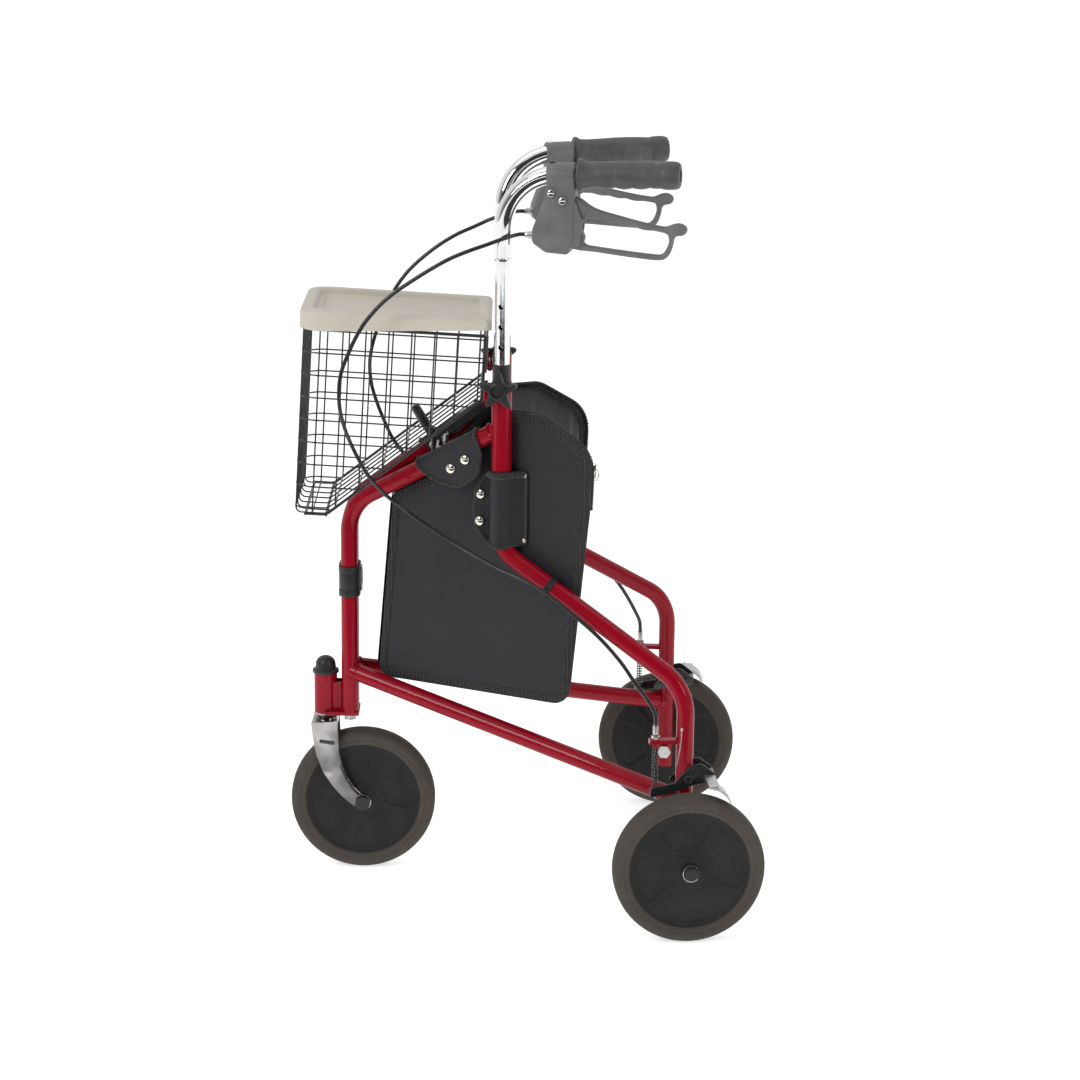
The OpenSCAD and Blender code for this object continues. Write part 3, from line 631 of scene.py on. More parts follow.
def make_cable(name, side, route):
    """The cable is one fixed tube: it curves where the handle slides, and follows the side frame below that."""
    path = catmull([(side * x, y, z) for x, y, z in route], 6)
    cable = tubes(f"{name}_cable_jacket", [path], CABLE_R, WORLD, 14)
    link(cable, JACKET, None, f"{name}_brake_cable")
    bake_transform(cable)
    line = [p * MM for p in path]
    tuple(line[0])
    sum((b - a).length for a, b in zip(line, line[1:]))


make_cable("left", 1, LEFT_ROUTE)
make_cable("right", -1, RIGHT_ROUTE)


# ---------------------------------------------------------------- wheels

WHEEL_R, HUB_R, TYRE_W = 95, 76.5, 32


def axle_matrix(joint, outward):
    """Local Z along the wheel's axle, pointing outward, in millimetres."""
    z = Vector(outward).normalized()
    x = Vector((0, 0, 1))
    y = z.cross(x)
    p = JOINTS[joint]["pos_m"]
    return Matrix(((x.x * MM, y.x * MM, z.x * MM, p[0]), (x.y * MM, y.y * MM, z.y * MM, p[1]),
                   (x.z * MM, y.z * MM, z.z * MM, p[2]), (0, 0, 0, 1)))


def tyre_profile():
    """Round-shouldered solid tyre with a mould line on each side."""
    w, edge = TYRE_W / 2, 11
    half = [(HUB_R - 5, w - 4.5), (HUB_R - 1.2, w - 2.6), (HUB_R + 0.3, w - 0.6), (HUB_R + 1.6, w - 0.1)]
    half += [(HUB_R + 4.5, w), (HUB_R + 5.2, w - 0.5), (HUB_R + 5.9, w - 0.1)]
    centre = (WHEEL_R - edge, w - edge)
    half += [(centre[0] + edge * sin(a), centre[1] + edge * cos(a))
             for a in [radians(9 * k) for k in range(1, 11)]]
    return half + [(r, -z) for r, z in reversed(half)]


def pocket_depth(r, angle, spoke_turn):
    """Depth of the four round-cornered pockets in a hub disc."""
    inner, outer, half_span, corner, rim = 29, 68, 31, 9, 2.2
    a = (degrees(angle) - spoke_turn + 45) % 90 - 45
    mid = (inner + outer) / 2
    across = abs(radians(a)) * r - radians(half_span) * r + corner
    along = abs(r - mid) - (outer - inner) / 2 + corner
    d = hypot(max(across, 0), max(along, 0)) + min(max(across, along), 0) - corner
    floor = 1.5 / (1 + exp(3.2 * d / rim))
    return floor - 0.55 * exp(-((d - 1.1) / 0.9) ** 2)


def hub_face(r):
    """Height of the hub disc's plain face above the wheel's mid plane."""
    w = TYRE_W / 2
    boss = 5.2 / (1 + exp((r - 17.5) / 1.4))
    dish = 2.6 * (1 - (r / HUB_R) ** 2)
    rim = 1.6 * exp(-((r - HUB_R + 2.5) / 2.2) ** 2)
    return w - 4.2 + boss + dish + rim


def hub_mesh(name, matrix, turn):
    sides = 180
    radii = [6.06, 6.6, 8, 10, 12.5, 14, 15.2, 16.4, 17.6, 18.8, 20, 22, 24, 26]
    radii += [26.8 + 0.8 * k for k in range(57)] + [73, 74.2, 75.2, 76, 76.5]
    def ring(r, side):
        out = []
        for k in range(sides):
            a = 2 * pi * k / sides
            z = hub_face(r) - (pocket_depth(r, a, turn) if 22 < r < 73 else 0)
            out.append(Vector((r * cos(a), r * sin(a), side * z)))
        return out
    rings = [ring(r, 1) for r in radii] + [ring(r, -1) for r in reversed(radii)]
    verts, faces = loft(rings, closed=True)
    return mesh_object(name, verts, faces, matrix, 50)


def make_wheel(prefix, body, joint, outward, turn):
    matrix = axle_matrix(joint, outward)
    tyre = revolve(f"{prefix}_tyre_tread", tyre_profile(), matrix, 144)
    link(tyre, TYRE, body, f"{prefix}_tyre")
    link(hub_mesh(f"{prefix}_hub_disc", matrix, turn), HUB, body, f"{prefix}_hub")


def make_axle_cap(name, matrix):
    """Black cap and bright retaining ring over the axle's outer end."""
    washer = [(8, 19.3), (11.4, 19.3), (11.8, 20), (11.8, 24.2), (11.2, 25), (8, 25)]
    cap = [(0.1, 24), (8.8, 24), (8.9, 27.8), (8.2, 29), (6.6, 29.6), (6.2, 29.1), (0.1, 29.1)]
    black = [revolve("washer", washer, matrix, 48), revolve("cap", cap, matrix, 48)]
    link(join(f"{name}_axle_cap", black), BLACK, f"{name}_frame")
    ring = tubes("ring", [[Vector((9.9 * cos(a), 9.9 * sin(a), 25.4)) for a in
                           [radians(-50 + 280 * k / 40) for k in range(41)]]], 0.55, matrix, 8)
    link(join(f"{name}_axle_ring", [ring]), CHROME, f"{name}_frame")


REAR_TURN, CASTER_TURN = 8, 20
for name, side in SIDES.items():
    toe = radians(-WHEEL_TOE)
    outward = (side * cos(toe), sin(toe), 0)
    make_wheel(name, f"{name}_wheel", f"{name}_wheel_spin", outward, REAR_TURN * side)
    make_axle_cap(name, axle_matrix(f"{name}_wheel_spin", outward))
make_wheel("caster", "caster_wheel", "caster_wheel_spin", (1, 0, 0), CASTER_TURN)


# ---------------------------------------------------------------- frame tubes

TUBE_R, POST_R = 11, 12.7
UPPER_Z, UPPER_SLOPE = 495, 0.56
LOWER_Z, LOWER_SLOPE = 460, 0.585
FRAME_BOTTOM, LEG_BOTTOM = 218, 72
RAIL_Z = (273, 165)


def weld(name, centre, axis, radius, matrix, body):
    """Bead of weld round a joint."""
    axis = Vector(axis).normalized()
    a = axis.orthogonal().normalized()
    b = axis.cross(a)
    loop = []
    for k in range(40):
        g = 2 * pi * k / 40
        wobble = 0.35 * noise.noise(Vector((3 * cos(g), 3 * sin(g), centre[0] * 0.1)))
        loop.append(Vector(centre) + (a * cos(g) + b * sin(g)) * (radius + wobble))
    link(tubes(name, [loop], 1.7, matrix, 8, closed=True), RED, body)


def make_frame_tubes(name, side):
    m, body = on_frame(side), f"{name}_frame"
    upper = stand(fillet([(0, FRAME_BOTTOM), (0, UPPER_Z), (POST_U, UPPER_Z + UPPER_SLOPE * POST_U)],
                         [0, 60, 0], 4))
    knee = LOWER_Z - LOWER_SLOPE * (LEG_U - POST_U)
    rear = stand(fillet([(POST_U, 480), (POST_U, LOWER_Z), (LEG_U, knee), (LEG_U, LEG_BOTTOM)],
                        [0, 38, 60, 0], 4))
    rail = stand([(2, RAIL_Z[0] - 0.4), (LEG_U - 2, RAIL_Z[1] + 0.4)])
    link(tubes(f"{name}_front_tube_bent", [upper], TUBE_R, m, 40), RED, body,
         f"{name}_front_tube")
    link(tubes(f"{name}_rear_tube_bent", [rear], TUBE_R, m, 40), RED, body,
         f"{name}_rear_tube")
    link(tubes(f"{name}_rail_tube", [rail], TUBE_R, m, 40), RED, body,
         f"{name}_lower_rail")
    slope = (RAIL_Z[1] - RAIL_Z[0]) / LEG_U
    weld(f"{name}_weld_front", (TUBE_R, 0, RAIL_Z[0] + slope * TUBE_R), (1, 0, slope), TUBE_R, m, body)
    weld(f"{name}_weld_rear", (LEG_U - TUBE_R, 0, RAIL_Z[1] - slope * TUBE_R), (1, 0, slope), TUBE_R, m, body)
    top = UPPER_Z + UPPER_SLOPE * (POST_U - POST_R)
    weld(f"{name}_weld_post", (POST_U - POST_R, 0, top), (1, 0, UPPER_SLOPE), TUBE_R + 0.6, m, body)
    weld(f"{name}_weld_foot", (POST_U, 0, 478), (0, 0, 1), TUBE_R + 0.6, m, body)


for name, side in SIDES.items():
    make_frame_tubes(name, side)


# ---------------------------------------------------------------- handles

HANDLE_Z, LEVEL_END = 933, 211
RISE = atan2(5, LEVEL_END)
HANDLE_R, SHANK_R = 11.1, 9.5
HOLE_Z, HOLE_PITCH, HOLE_R = 719, 25.4, 3.4
SHANK_TOP, SHANK_BOTTOM = 829, 612


def cut(obj, cutters):
    """Subtracts the cutters from obj."""
    for cutter in cutters:
        modifier = obj.modifiers.new("cut", "BOOLEAN")
        modifier.object, modifier.operation, modifier.solver = cutter, "DIFFERENCE", "EXACT"
    mesh = evaluated(obj)
    name = obj.name
    for old in [obj, *cutters]:
        bpy.data.objects.remove(old)
    return finish_mesh(name, mesh, 40)


def make_handle_tube(name, side):
    m = on_post(side)
    bend = stand(fillet([(0, SHANK_TOP + 1), (0, HANDLE_Z), (LEVEL_END, HANDLE_Z + 5)], [0, 70, 0], 3))
    upper = tubes("bend", [bend], HANDLE_R, m, 48)
    lip = tubes("lip", [[Vector((0, 0, SHANK_TOP + z)) for z in (-2.5, -1.2, 0, 1.2, 2.5)]],
                lambda t: HANDLE_R + 0.5 * sin(pi * t) - 0.3, m, 48)
    shank = tubes("shank", [[(0, 0, SHANK_BOTTOM), (0, 0, SHANK_TOP)]], SHANK_R, m, 48)
    bore = tubes("bore", [[(0, 0, SHANK_BOTTOM - 1), (0, 0, SHANK_TOP - 8)]], SHANK_R - 1.5, m, 32)
    holes = []
    for k in range(-2, 3):
        z = HOLE_Z + HOLE_PITCH * k
        holes.append(tubes("hole", [[(0, -14, z), (0, 14, z)]], HOLE_R, m, 24))
    shank = cut(shank, [bore, *holes])
    link(join(f"{name}_handle_chrome", [upper, lip, shank]), CHROME, f"{name}_handle",
         f"{name}_handle_tube")


GRIP_START, GRIP_L = 93, 126
GRIP_PROFILE = [(0, 17), (0.8, 19.6), (2.2, 20.4), (4, 20.2), (6.5, 18.4), (10, 16.8), (18, 16.3),
                (34, 16.6), (52, 17.3), (70, 17.4), (88, 16.8), (101, 16.0), (104, 16.0), (105, 16.9),
                (110, 17.3), (118, 17.2), (122, 16.6), (125, 15.2), (126, 13.5)]


DIP_START, DIP_END, DIP_PITCH = 14, 100, 21.5


def grip_radius(x):
    for (x0, r0), (x1, r1) in zip(GRIP_PROFILE, GRIP_PROFILE[1:]):
        if x <= x1:
            t = (x - x0) / (x1 - x0)
            return r0 + (r1 - r0) * t
    return GRIP_PROFILE[-1][1]


def make_grip(name, side):
    """Rubber grip with a flange, finger dips below and a stepped end cap."""
    axis = on_post(side) @ move(0, 0, HANDLE_Z) @ Matrix.Rotation(-RISE, 4, "Y")
    sides, rings = 64, []
    xs = [0, 0.4, 0.8, 1.4, 2.2, 3, 4, 5, 6.5, 8] + [10 + 1.5 * k for k in range(60)]
    xs += [100.5, 102, 103.5, 104.2, 104.8, 105.6, 107, 110, 114, 118, 120, 122, 123.5, 125, 125.7, 126]
    for x in xs:
        ring = []
        for k in range(sides):
            a = 2 * pi * k / sides
            below = max(0, -sin(a)) ** 1.5
            r = grip_radius(x)
            if DIP_START < x < DIP_END:
                dip = sin(pi * (x - DIP_START) / (DIP_END - DIP_START)) ** 0.3
                r -= 1.3 * below * (0.5 - 0.5 * cos(2 * pi * (x - DIP_START) / DIP_PITCH)) * dip
                groove = exp(-(((x - DIP_START) % DIP_PITCH - DIP_PITCH / 2) / 1.6) ** 2)
                r -= 0.5 * groove * min(1, max(0, 0.6 - sin(a)))
                rib = 0.5 + 0.5 * cos(2 * pi * x / 3)
                pad = exp(-((degrees(a) % 360 - 20) / 26) ** 2) + exp(-((degrees(a) % 360 - 160) / 26) ** 2)
                r += 0.35 * rib * pad * dip
            ring.append(Vector((GRIP_START + x, r * cos(a), r * sin(a))))
        rings.append(ring)
    last = [[Vector((GRIP_START + GRIP_L, r * cos(2 * pi * k / sides), r * sin(2 * pi * k / sides)))
             for k in range(sides)] for r in (9, 8.4)]
    last.append([p + Vector((-1.5, 0, 0)) for p in last[-1]])
    verts, faces = loft(rings + last)
    grip = mesh_object("grip", verts, faces, axis, 45)
    seam = tubes("seam", [[(GRIP_START + 103.6, 15.7 * cos(g), 15.7 * sin(g))
                           for g in around(48)]], 0.8, axis, 8, closed=True)
    link(join(f"{name}_grip_moulded", [grip, seam]), GRIP_PAINTED_SHEEN, f"{name}_handle", f"{name}_grip")


def ring_path(centre, a, b, y, count=48):
    return [Vector((centre[0] + a * cos(2 * pi * k / count), y, centre[1] + b * sin(2 * pi * k / count)))
            for k in range(count)]


def across(matrix, p, y, outward):
    """Local Z across the upright plane at p = (distance, height), starting at y."""
    turn = Matrix.Rotation(radians(90 if outward else -90), 4, "X")
    return matrix @ move(p[0], y, p[1]) @ turn


def make_housing(name, side):
    m, body = on_post(side), f"{name}_handle"
    outline = sketch([(92, 946), (57, 945), (55, 912), (38.5, 868), (38, 852), (55, 840), (84, 838),
                      (90, 858)], [3, 4, 30, 9, 9, 12, 6, 20], 8)
    shell = plate("shell", outline, [], 26, 3, standing(m))
    barrel_axis = m @ move(0, 0, HANDLE_Z) @ Matrix.Rotation(-RISE, 4, "Y")
    barrel = revolve("barrel", [(11.2, 55.5), (13.6, 55.5), (14.6, 57), (14.8, 60), (14.8, 87), (14.4, 90),
                                (11.2, 91)], barrel_axis @ Matrix.Rotation(radians(90), 4, "Y"), 48)
    cheeks = [plate("cheek", sketch([(88, 914), (84, 846), (98, 850), (101, 880)], [3, 4, 6, 14], 8),
                    [], 3.5, 1.5, standing(m, y)) for y in (-9.5, 9.5)]
    badges = [tubes("badge", [ring_path((70, 873), 12, 9.2, y)], 0.5, m, 8, closed=True)
              for y in (-13, 13)]
    collars, caps = [], []
    for p in ((76, 904), (62, 913)):
        for outward in (True, False):
            y = -12.6 if outward else 12.6
            collars.append(revolve("collar", [(4.4, 0), (6.6, 0), (6.6, 1.2), (5.8, 2.2), (4.4, 2.4)],
                                   across(m, p, y, outward), 32))
            caps.append(dome("cap", 4.3, 3.2, across(m, p, y, outward), 2.2))
    screw = dome("screw", 4.6, 5.2, m @ move(61, 0, 946), 3)
    link(join(f"{name}_housing_shell", [shell, barrel, *cheeks, *badges, *collars]), LEVER_PAINTED_SHEEN, body,
         f"{name}_brake_housing")
    link(join(f"{name}_housing_pins", caps), CHROME, body, f"{name}_lever_pin")
    link(join(f"{name}_clamp_screw", [screw]), SNAP if side < 0 else BLACK, body)
    ferrule = [(1.2, 27.8), (3.2, 27.8), (3.6, 29), (3.6, 32), (4.2, 32.4), (4.2, 35), (5, 35.4), (5, 44),
               (1.2, 44)]
    turned = m @ move(0, 0, 860) @ Matrix.Rotation(radians(90), 4, "Y")
    link(revolve(f"{name}_cable_adjuster", ferrule, turned, 24), ZINC, body)


def make_lever(name, side):
    """Loop lever: scalloped upper bar, thin lower bar and a thumb hook."""
    upper = catmull([(100, 905), (110, 898), (122, 893), (148, 886.5), (174, 880.5), (196, 876.5),
                     (204, 876.5),
                     (212, 879.5), (220, 880.5), (227, 877), (228.5, 871), (224, 866), (216, 864.5),
                     (213, 861)], 4)
    lower = catmull([(212, 855), (209, 845), (203, 837), (193, 834.5), (170, 836), (140, 839), (118, 841.5),
                     (96, 843)], 4)
    outer = upper + lower + [Vector(p) for p in ((80, 846), (66, 858), (64, 900), (70, 910), (90, 910))]
    top = []
    for k in range(41):
        x = 106 + (201 - 106) * k / 40
        base = 884.5 - 0.172 * (x - 106) - 1.6 * exp(-((x - 106) / 9) ** 2)
        top.append(Vector((x, base - 1.5 * abs(sin(pi * (x - 118) / 23)) * (1 if 118 < x < 187 else 0))))
    hole = top + catmull([(205, 866), (206.5, 858), (203, 848), (197, 842), (184, 842), (150, 845),
                          (118, 848.5), (104, 851), (99, 860), (98, 870), (101, 880)], 4)
    blade = plate("blade", list(reversed(outer)), [hole], 10, 3.4, standing(on_post(side)), 40, 5)
    web = plate("web", sketch([(70, 908), (66, 858), (96, 846), (104, 858), (97, 872), (101, 886),
                               (108, 895), (92, 908)],
                              [4, 6, 5, 8, 12, 8, 4, 4], 8), [], 13, 2, standing(on_post(side)))
    link(join(f"{name}_lever_loop", [blade, web]), LEVER_PAINTED_SHEEN, f"{name}_lever",
         f"{name}_hand_lever")


def make_knob(name, side):
    """Five-lobed star knob with a hollow boss."""
    m = across(on_post(side), (0, POST[2]), 0, True)
    star = []
    for k in range(100):
        a = 2 * pi * k / 100
        lobe = (0.5 + 0.5 * cos(5 * (a - radians(18)))) ** 1.6
        star.append(Vector((cos(a), sin(a))) * (13.2 + 11.6 * lobe))
    body = plate("body", star, [], 11, 3, m @ move(0, 0, 21.5), 40, 4)
    boss = revolve("boss", [(3, 13.2), (11.5, 13.2), (11.5, 17), (11, 27), (10.4, 30), (8.6, 30.6),
                            (7.6, 29), (7.2, 26), (0.1, 25.6)], m, 48)
    link(join(f"{name}_knob_star", [body, boss]), BLACK, f"{name}_knob",
         f"{name}_star_knob")


for name, side in SIDES.items():
    make_handle_tube(name, side)
    make_grip(name, side)
    make_housing(name, side)
    make_lever(name, side)
    make_knob(name, side)


# ---------------------------------------------------------------- head and caster

HEAD_Y = JOINTS["caster_swivel"]["pos_m"][1] / MM
CASTER_Y = JOINTS["caster_wheel_spin"]["pos_m"][1] / MM
HEAD_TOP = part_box("head_cap")[0].z / MM


def make_head_cap():
    at = WORLD @ move(0, HEAD_Y, HEAD_TOP)
    profile = [(0.1, 0), (15.5, 0), (17, 0.8), (17.4, 2.6), (17, 4.6), (15, 5.6), (13.6, 6.4), (13.4, 9),
               (13, 12)]
    profile += [(13 * cos(a), 12 + 11 * sin(a)) for a in [pi / 2 * k / 10 for k in range(1, 10)]]
    profile.append((0.1, 23))
    link(revolve("head_cap_dome", profile, at, 64, 50), BLACK, "bracket", "head_cap")


def fork_section(t):
    """Middle (y, z), half width and half thickness of a fork blade at t from crown to axle."""
    line = [(-255.5, 205, 17.5), (-254, 186, 17), (-251.5, 164, 15.6), (-245.5, 142, 14), (-236, 124, 12.2),
            (-224.5, 109, 11), (-214, 99.5, 10.6), (CASTER_Y, 95, 10.6)]
    k = min(int(t * (len(line) - 1)), len(line) - 2)
    f = t * (len(line) - 1) - k
    a, b = line[k], line[k + 1]
    return [a[i] + (b[i] - a[i]) * f for i in range(3)]


def blade_mesh(name, side):
    """Curved chrome blade with rounded edges, which ends in a round eye."""
    inner, thick, count = 21, 4.6, 40
    rings = []
    stations = [fork_section(k / count) for k in range(count + 1)]
    for i, (y, z, half) in enumerate(stations):
        y0, z0, _ = stations[max(i - 1, 0)]
        y1, z1, _ = stations[min(i + 1, count)]
        d = Vector((y1 - y0, z1 - z0)).normalized()
        n = Vector((-d.y, d.x))
        ring = []
        for k in range(20):
            a = 2 * pi * k / 20
            u = half * (abs(cos(a)) ** 0.35) * (1 if cos(a) >= 0 else -1)
            v = thick / 2 * (abs(sin(a)) ** 0.8) * (1 if sin(a) >= 0 else -1)
            crown = 1.1 * (1 - (u / half) ** 2)
            ring.append(Vector((side * (inner + thick / 2 + v + crown), y + n.x * u, z + n.y * u)))
        rings.append(ring)
    verts, faces = loft(rings)
    blade = mesh_object(name, verts, faces, WORLD, 50)
    axle = WORLD @ move(0, CASTER_Y, WHEEL_Z) @ Matrix.Rotation(radians(90 * side), 4, "Y")
    profile = [(6, inner), (10.6, inner), (11.2, inner + 1), (11.2, inner + 4.6), (10, inner + 5.6),
               (6, inner + 5.6)]
    eye = revolve("eye", profile, axle, 48)
    return [blade, eye]


def make_fork():
    pieces = blade_mesh("blade", 1) + blade_mesh("blade", -1)
    crown = sketch([(-25.5, -272), (25.5, -272), (25.5, -238.5), (-25.5, -238.5)], [9, 9, 6, 6], 8)
    pieces.append(plate("crown", crown, [], 8, 2.4, WORLD @ move(0, 0, 201), 40))
    stem = [(6, 204), (15, 204), (15, 206.5), (12.5, 208), (11, 209), (11, 212.4), (6, 212.4)]
    pieces.append(revolve("stem", stem, WORLD @ move(0, HEAD_Y, 0), 48))
    front = sketch([(-21, 204), (21, 204), (18, 170), (-18, 170)], [3, 3, 10, 10], 8)
    tilt = Matrix.Rotation(radians(5), 4, "X") @ move(0, 0, -204)
    hood = WORLD @ move(0, -271, 204) @ tilt @ UPRIGHT
    pieces.append(plate("hood", front, [], 3, 1.2, hood, 40))
    link(join("caster_fork_chrome", pieces), FORK, "caster", "caster_fork")
    # No slot is cut: thin black plates on the blades' outer faces are painted shade of the openings
    slot = sketch([(-262, 177), (-242, 174), (-242, 179), (-262, 182)], 2, 10)
    side_on = Matrix(((0, 0, 1, 0), (1, 0, 0, 0), (0, 1, 0, 0), (0, 0, 0, 1)))
    marks = [plate("mark", slot, [], 1.2, 0.4, WORLD @ move(x, 0, 0) @ side_on)
             for x in (26.6, -26.6)]
    link(join("caster_fork_slot_shade", marks), STEEL, "caster")


def make_strap():
    """Black double collar round the front posts, ribbed, with a steel buckle behind."""
    z0, h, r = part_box("post_strap")[0].z / MM, 40, 13.6
    half = HINGE[0]
    def outline(radius):
        line = [(half + radius * cos(a), HINGE[1] + radius * sin(a)) for a in [pi * (k / 16 - 0.5)
                                                                               for k in range(17)]]
        return [Vector(p) for p in line + [(-x, 2 * HINGE[1] - y) for x, y in line]]
    bands = []
    for low, high, grow in ((0, 9, 0.5), (9, 31, 0), (31, 40, 0.5)):
        middle = z0 + (low + high) / 2
        bands.append(plate("band", outline(r + grow), [list(reversed(outline(TUBE_R + 0.6)))], high - low, 1,
                           WORLD @ move(0, 0, middle)))
    link(join("front_strap_band", bands), BLACK, "bracket", "post_strap")
    buckle = sketch([(-10, z0 + 5), (10, z0 + 5), (10, z0 + h - 3), (-10, z0 + h - 3)], 3, 10)
    opening = sketch([(-6, z0 + 11), (6, z0 + 11), (6, z0 + h - 9), (-6, z0 + h - 9)], 2, 10)
    at = WORLD @ move(0, HINGE[1] + r + 1.8, 0) @ UPRIGHT
    link(plate("front_strap_buckle", buckle, [list(reversed(opening))], 2.4, 0.8, at), ZINC, "bracket")


make_head_cap()
make_fork()
make_strap()


# ---------------------------------------------------------------- basket and tray

BASKET = move(0, -0.287, 0.501) @ Matrix.Rotation(radians(-3), 4, "X") @ WORLD
BASKET_W, BASKET_L, BASKET_H, BASKET_FLAT, BASKET_REAR = 91.2, 227, 248, 40, 160
PITCH, WIRE_R, RIM_R = 28.5, 1.05, 1.9


def floor_at(y):
    """Height of the basket's floor: flat in front, then rising to the rear."""
    if y <= BASKET_FLAT:
        return 1.5
    return 1.5 + (BASKET_REAR - 1.5) * (y - BASKET_FLAT) / (BASKET_L - BASKET_FLAT)


def floor_back(z):
    """Depth at which the sloping floor is z high."""
    return BASKET_FLAT + (z - 1.5) / (BASKET_REAR - 1.5) * (BASKET_L - BASKET_FLAT)


def make_basket():
    top, w, corner = BASKET_H - 8, BASKET_W, 22
    wires = []
    for k in range(-3, 4):
        x = PITCH * k
        back = [(BASKET_L, BASKET_REAR), (BASKET_L, top)]
        line = fillet([(1.5, top), (1.5, 1.5), (BASKET_FLAT, 1.5), *back], [0, 7, 14, 7, 0], 12)
        wires.append([Vector((x, p[0], p[1])) for p in line])
    count = int((BASKET_L - 24) / PITCH)
    for k in range(count + 1):
        y = 24 + PITCH * k
        line = fillet([(-w, top), (-w, floor_at(y)), (w, floor_at(y)), (w, top)], [0, 7, 7, 0], 12)
        wires.append([Vector((p[0], y - 1.6, p[1])) for p in line])
    z = top - 4
    while z > 4:
        back = min(floor_back(z), BASKET_L) if z < BASKET_REAR else BASKET_L
        ends = [(-w - 1.6, back), (-w - 1.6, 0), (w + 1.6, 0), (w + 1.6, back)]
        line = fillet(ends, [0, corner, corner, 0], 10)
        wires.append([Vector((p[0], p[1], z)) for p in line])
        if z > BASKET_REAR:
            reach = 57 if z < 192 else w
            wires.append([Vector((-reach, BASKET_L + 1.5, z)), Vector((reach, BASKET_L + 1.5, z))])
        z -= PITCH
    link(tubes("basket_mesh", wires, WIRE_R, BASKET, 8), WIRE, "basket", "wire_basket")
    rim = sketch([(-w, 1), (w, 1), (w, BASKET_L), (-w, BASKET_L)], [corner, corner, 9, 9], 10)
    bars = [[Vector((p[0], p[1], top + 1)) for p in rim]]
    rims = tubes("rims", bars, RIM_R, BASKET, 10, closed=True)
    edges = []
    for x in (-w, w):
        line = fillet([(BASKET_L + 1, top), (BASKET_L + 1, BASKET_REAR), (BASKET_FLAT, 1), (14, 1)],
                      [0, 8, 14, 0], 10)
        edges.append([Vector((x * 0.985, p[0], p[1])) for p in line])
        edges.append([Vector((x * 0.93, BASKET_L + 3, top)),
                      Vector((x * 0.93, BASKET_L + 3, BASKET_REAR + 34))])
    for y in (14, BASKET_FLAT):
        edges.append([Vector((-w, y, 0.6)), Vector((w, y, 0.6))])
    edges.append([Vector((-w, BASKET_L, BASKET_REAR)), Vector((w, BASKET_L, BASKET_REAR))])
    link(join("basket_rim", [rims, tubes("edges", edges, RIM_R, BASKET, 10)]), WIRE, "basket")


def tray_ring(grow, z, corners):
    """Rounded rectangle of the tray at height z, grow millimetres inside its lip."""
    w, l0, l1 = 98.5 - grow, -5 + grow, 235 - grow
    front, back = (max(c - grow * 0.6, 3) for c in corners)
    line = sketch([(-w, l0), (w, l0), (w, l1), (-w, l1)], [front, front, back, back], 6)
    return [Vector((p.x, p.y, z)) for p in line]


def make_tray():
    """Moulded tray: rolled rim, sloping walls with a step, and a skirt cut away behind."""
    base = BASKET_H - 12
    corners = (30, 10)
    levels = [(3, 3), (1.2, 0.4), (0.2, 0), (0, 1.2), (0, 20), (0.5, 22.8), (2, 25), (4.2, 26), (9, 26.2),
              (13, 26),
              (15.2, 25.2), (16.4, 23.6), (17.6, 19.6), (18.6, 18.8), (23, 18.5), (24.4, 18), (25.4, 16.6),
              (27, 16), (40, 16), (70, 16), (93, 16)]
    rings = [tray_ring(g, base + z, corners) for g, z in levels]
    underside = [(90, 13.4), (40, 13.4), (20, 13.6), (6, 14), (3.2, 12), (3, 3)]
    rings += [tray_ring(g, base + z, corners) for g, z in underside]
    for ring in rings:
        for p in ring:
            if p.y > BASKET_L - 10 and p.z < base + 13:
                p.z = base + 13 + (p.z - base) * 0.05
    verts, faces = loft(rings, caps=False, closed=True)
    n, top = len(rings[0]), len(levels) - 1
    faces = [f for f in faces if not (f[0] // n == top and f[2] // n == top + 1)]
    faces += [tuple(ring * n + k for k in range(n)) for ring in (top, top + 1)]
    link(mesh_object("tray_moulding", verts, faces, BASKET, 38), TRAY, "tray", "tray")


make_basket()
make_tray()


# ---------------------------------------------------------------- bag

PANEL_Y = POST_R + 1.6
PANEL = sketch([(36, 268), (305, 263), (331, 520), (334, 592), (262, 634), (POST_U, 634), (140, 556),
                (58, 512)], [16, 24, 30, 46, 34, 6, 14, 14], 6)
PANEL_MIDDLE = Vector((190, 430))
TAPE_W = 11


def soft_swell(u, z):
    """Slow waves in the vinyl, outboard positive."""
    slow = noise.noise(Vector((u / 70, z / 95, 1.7))) * 2.4
    crease = noise.noise(Vector(((u + z) / 38, (u - z) / 120, 5.1))) * 0.8
    return slow + crease


def panel_mesh(name, matrix, lift, shrink):
    """Skin inside the panel outline, swelling gently away from the seam."""
    n, steps = len(PANEL), 26
    out = 1 if lift > 0 else -1
    rings = []
    for k in range(steps):
        t = 1 - k / steps
        ring = []
        for p in inset(PANEL, shrink):
            q = PANEL_MIDDLE + (p - PANEL_MIDDLE) * t
            edge = min(1, (1 - t) * 5)
            swell = soft_swell(q.x, q.y) * edge * out
            ring.append(Vector((q.x, PANEL_Y - lift - swell, q.y)))
        rings.append(ring)
    verts, faces = loft(rings, caps=False)
    swell = soft_swell(*PANEL_MIDDLE) * out
    verts.append(Vector((PANEL_MIDDLE.x, PANEL_Y - lift - swell, PANEL_MIDDLE.y)))
    faces += [((steps - 1) * n + k, (steps - 1) * n + (k + 1) % n, len(verts) - 1) for k in range(n)]
    return mesh_object(name, verts, faces, matrix, 60)


